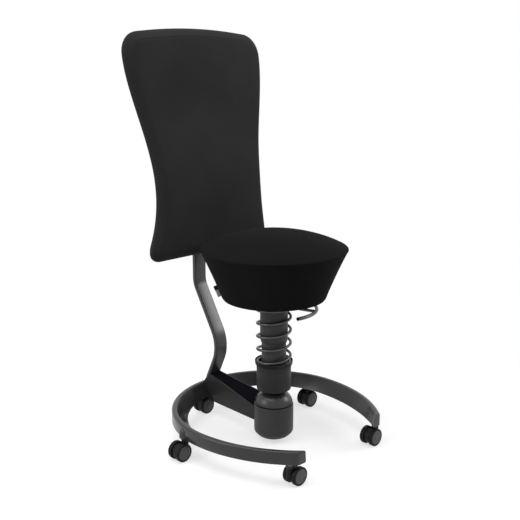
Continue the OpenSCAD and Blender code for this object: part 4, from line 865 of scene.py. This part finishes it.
def at_depth(k, d):
    """The point on spoke k that lies d inside the outline."""
    lo, hi = 0.0, 1.0
    for _ in range(18):
        m = (lo + hi) / 2
        if outline_distance(OUT[k] + (CENTRE - OUT[k]) * m) < d:
            lo = m
        else:
            hi = m
    return OUT[k] + (CENTRE - OUT[k]) * lo


def bevel_rise(s):
    """Share of the padding's depth at s of the way across its bevelled border."""
    if s <= 0:
        return 0.0
    if s < 0.12:
        return 0.30 * math.sqrt(s / 0.12)
    if s < 1.0:
        return 0.30 + 0.66 * ((s - 0.12) / 0.88) ** 0.85
    return 0.96 + 0.04 * smooth_step((s - 1.0) / 0.5)


SEAM_D = 22.0


def seam_dip(d):
    """Depth of the sewn line between the border and the middle panel."""
    return 1.1 * math.exp(-((d - SEAM_D) / 1.6) ** 2)


def pad_mesh():
    depths = [0, 0.5, 1.4, 2.6, 5, 8, 11, 14, 17, 19, 20.2, 21.1, 22, 22.9, 23.8, 25, 27.5, 32]
    n = len(OUT)
    rings = [[at_depth(k, d) for k in range(n)] for d in depths]
    inner = np.array(rings[-1])
    levels = [0.88, 0.74, 0.58, 0.42, 0.26, 0.12]
    flat = [CENTRE + (inner - CENTRE) * t for t in levels]
    verts, faces = [], []

    def front(p, d):
        rise = bevel_rise(d / PAD_BEVEL)
        x, z = p
        crown = 3.0 * max(0, 1 - (x / 250.0) ** 2)
        return (x, back_mid(z) - (PAD_FRONT + crown) * rise + seam_dip(d), z)

    def rear(p, d):
        x, z = p
        return (x, back_mid(z) + PAD_REAR * min(1, math.sqrt(max(0, bevel_rise(d / 8.0)))), z)

    for shape in (front, rear):
        first = len(verts)
        for r, d in zip(rings, depths):
            verts += [shape(p, d) for p in r]
        for r in flat:
            verts += [shape(p, 40.0) for p in r]
        verts.append(shape(CENTRE, 40.0))
        rows = len(rings) + len(flat)
        for i in range(rows - 1):
            low, high = first + i * n, first + (i + 1) * n
            for k in range(n):
                j = (k + 1) % n
                faces.append((low + k, low + j, high + j, high + k))
        last = first + rows * n
        for k in range(n):
            faces.append((first + (rows - 1) * n + k, first + (rows - 1) * n + (k + 1) % n, last))
    return verts, faces


v, f = pad_mesh()
v = puffed(v, f, lambda p: p[1] > back_mid(p[2]) - 1.0 or
           abs(outline_distance(np.array([p[0], p[2]])) - SEAM_D) < 4.5, voxel=7.0, cap=3.0)
back = make("backrest_pad", v, f, M["fabric_back"], "backrest", ["back_cushion"], smooth=60)

# Rear shell: a thin moulded skin with a rolled edge and the raised pad for the carrier
SHELL_OUT = resample(back_outline(8.0), 160)
shell = Shell()
rows = []
for inset, off in ((0.0, 9.2), (0.0, 13.6), (0.8, 15.2), (2.2, 16.0)):
    loop = []
    for x, z in SHELL_OUT:
        d = np.array([x, z]) - CENTRE
        s = 1 - inset / np.linalg.norm(d)
        px, pz = CENTRE + d * s
        loop.append((px, back_mid(pz) + off, pz))
    rows.append(loop)
n = len(SHELL_OUT)
verts = [p for r in rows for p in r]
faces = []
for i in range(len(rows) - 1):
    for k in range(n):
        j = (k + 1) % n
        faces.append((i * n + k, i * n + j, (i + 1) * n + j, (i + 1) * n + k))


def fill_cap(level, off):
    start = len(verts)
    base = level * n
    steps = 10
    for s in range(1, steps):
        for k in range(n):
            p = CENTRE + (np.array([verts[base + k][0], verts[base + k][2]]) - CENTRE) * (1 - s / steps)
            verts.append((p[0], back_mid(p[1]) + off, p[1]))
    verts.append((CENTRE[0], back_mid(CENTRE[1]) + off, CENTRE[1]))
    prev = base
    for s in range(1, steps):
        cur = start + (s - 1) * n
        for k in range(n):
            j = (k + 1) % n
            faces.append((prev + k, prev + j, cur + j, cur + k))
        prev = cur
    last = len(verts) - 1
    for k in range(n):
        faces.append((prev + k, prev + (k + 1) % n, last))


fill_cap(0, 9.2)
fill_cap(3, 16.0)
shell.add(verts, faces)
pad = rounded([(-55, 571), (55, 571), (55, 701), (-55, 701)], 8, 5)
front_loop = [(x, back_mid(z) + 12.0, z) for x, z in pad]
rear_loop = [(x, 273.2, z) for x, z in pad]
rear_in = [(x * 0.985, 274.0, 636 + (z - 636) * 0.988) for x, z in pad]
shell.add(*sweep([front_loop, rear_loop, rear_in]))
make("backrest_shell", shell.v, shell.f, M["shell"], "backrest", ["back_shell"], smooth=34)


# ---------------------------------------------------------------- stage, light and camera
def seen_rays(nt):
    """1 for the rays by which the camera, gloss and glass see a surface."""
    path = nt.nodes.new("ShaderNodeLightPath")
    m1 = nt.nodes.new("ShaderNodeMath")
    m1.operation = "MAXIMUM"
    m2 = nt.nodes.new("ShaderNodeMath")
    m2.operation = "MAXIMUM"
    nt.links.new(path.outputs["Is Camera Ray"], m1.inputs[0])
    nt.links.new(path.outputs["Is Glossy Ray"], m1.inputs[1])
    nt.links.new(m1.outputs[0], m2.inputs[0])
    nt.links.new(path.outputs["Is Transmission Ray"], m2.inputs[1])
    return m2.outputs[0]


def studio_white(name, lit, own, near, far):
    """Pale surface, partly its own white so that the shadow stays soft; plain white beyond far metres."""
    m = bpy.data.materials.new(name)
    m.use_nodes = True
    nt = m.node_tree
    for n in list(nt.nodes):
        nt.nodes.remove(n)
    out = nt.nodes.new("ShaderNodeOutputMaterial")
    diff = nt.nodes.new("ShaderNodeBsdfDiffuse")
    diff.inputs["Color"].default_value = (lit, lit, lit, 1)
    glow = nt.nodes.new("ShaderNodeEmission")
    glow.inputs["Strength"].default_value = own
    both = nt.nodes.new("ShaderNodeAddShader")
    plain = nt.nodes.new("ShaderNodeBsdfDiffuse")
    plain.inputs["Color"].default_value = (0.6, 0.6, 0.6, 1)
    white = nt.nodes.new("ShaderNodeEmission")
    white.inputs["Strength"].default_value = 1.0
    mix = nt.nodes.new("ShaderNodeMixShader")
    fade = nt.nodes.new("ShaderNodeMixShader")
    away = nt.nodes.new("ShaderNodeVectorMath")
    away.operation = "LENGTH"
    span = nt.nodes.new("ShaderNodeMapRange")
    span.interpolation_type = "SMOOTHSTEP"
    span.inputs["From Min"].default_value, span.inputs["From Max"].default_value = near, far
    nt.links.new(nt.nodes.new("ShaderNodeTexCoord").outputs["Object"], away.inputs[0])
    nt.links.new(away.outputs["Value"], span.inputs["Value"])
    nt.links.new(diff.outputs[0], both.inputs[0])
    nt.links.new(glow.outputs[0], both.inputs[1])
    nt.links.new(span.outputs["Result"], fade.inputs[0])
    nt.links.new(both.outputs[0], fade.inputs[1])
    nt.links.new(white.outputs[0], fade.inputs[2])
    nt.links.new(seen_rays(nt), mix.inputs[0])
    nt.links.new(plain.outputs[0], mix.inputs[1])
    nt.links.new(fade.outputs[0], mix.inputs[2])
    nt.links.new(mix.outputs[0], out.inputs[0])
    return m


me = bpy.data.meshes.new("floor")
me.from_pydata([(-12, -12, 0), (12, -12, 0), (12, 12, 0), (-12, 12, 0)], [], [(0, 1, 2, 3)])
me.materials.append(studio_white("floor_white", 0.45, 0.62, 0.6, 1.1))
floor = bpy.data.objects.new("floor", me)
bpy.context.scene.collection.objects.link(floor)

world = bpy.data.worlds.new("studio")
bpy.context.scene.world = world
world.use_nodes = True
nt = world.node_tree
for n in list(nt.nodes):
    nt.nodes.remove(n)
out = nt.nodes.new("ShaderNodeOutputWorld")
light_bg = nt.nodes.new("ShaderNodeBackground")
light_bg.inputs["Color"].default_value = (1, 1, 1, 1)
light_bg.inputs["Strength"].default_value = 0.45
seen_bg = nt.nodes.new("ShaderNodeBackground")
seen_bg.inputs["Color"].default_value = (1, 1, 1, 1)
seen_bg.inputs["Strength"].default_value = 1.0
mix = nt.nodes.new("ShaderNodeMixShader")
nt.links.new(seen_rays(nt), mix.inputs[0])
nt.links.new(light_bg.outputs[0], mix.inputs[1])
nt.links.new(seen_bg.outputs[0], mix.inputs[2])
nt.links.new(mix.outputs[0], out.inputs[0])


def area(name, at, look, size, power):
    data = bpy.data.lights.new(name, "AREA")
    data.energy = power
    data.size = size
    ob = bpy.data.objects.new(name, data)
    bpy.context.scene.collection.objects.link(ob)
    ob.location = at
    ob.rotation_mode = "QUATERNION"
    ob.rotation_quaternion = (Vector(look) - Vector(at)).to_track_quat("-Z", "Y")
    return ob


area("key_top", (-0.7, 0.2, 3.2), (0, 0, 0.4), 2.4, 54)
area("side_left", (-2.6, 1.2, 1.6), (0, 0, 0.5), 1.6, 26)
area("fill_right", (2.3, -1.45, 1.7), (0, 0.2, 0.3), 1.1, 30)

cam_data = bpy.data.cameras.new("camera")
cam = bpy.data.objects.new("camera", cam_data)
bpy.context.scene.collection.objects.link(cam)
bpy.context.scene.camera = cam
cam_data.sensor_width = 36.0
cam_data.lens = 58.0022
cam_data.shift_x = -0.00735
cam_data.shift_y = 0.00088
cam_data.clip_end = 60
cam.location = (-1.6154, -1.5328, 1.0454)
cam.rotation_euler = (math.radians(90 - 13.2511), 0, math.radians(-45.7757))

bpy.context.scene.view_settings.view_transform = "Standard"

bpy.context.view_layer.update()
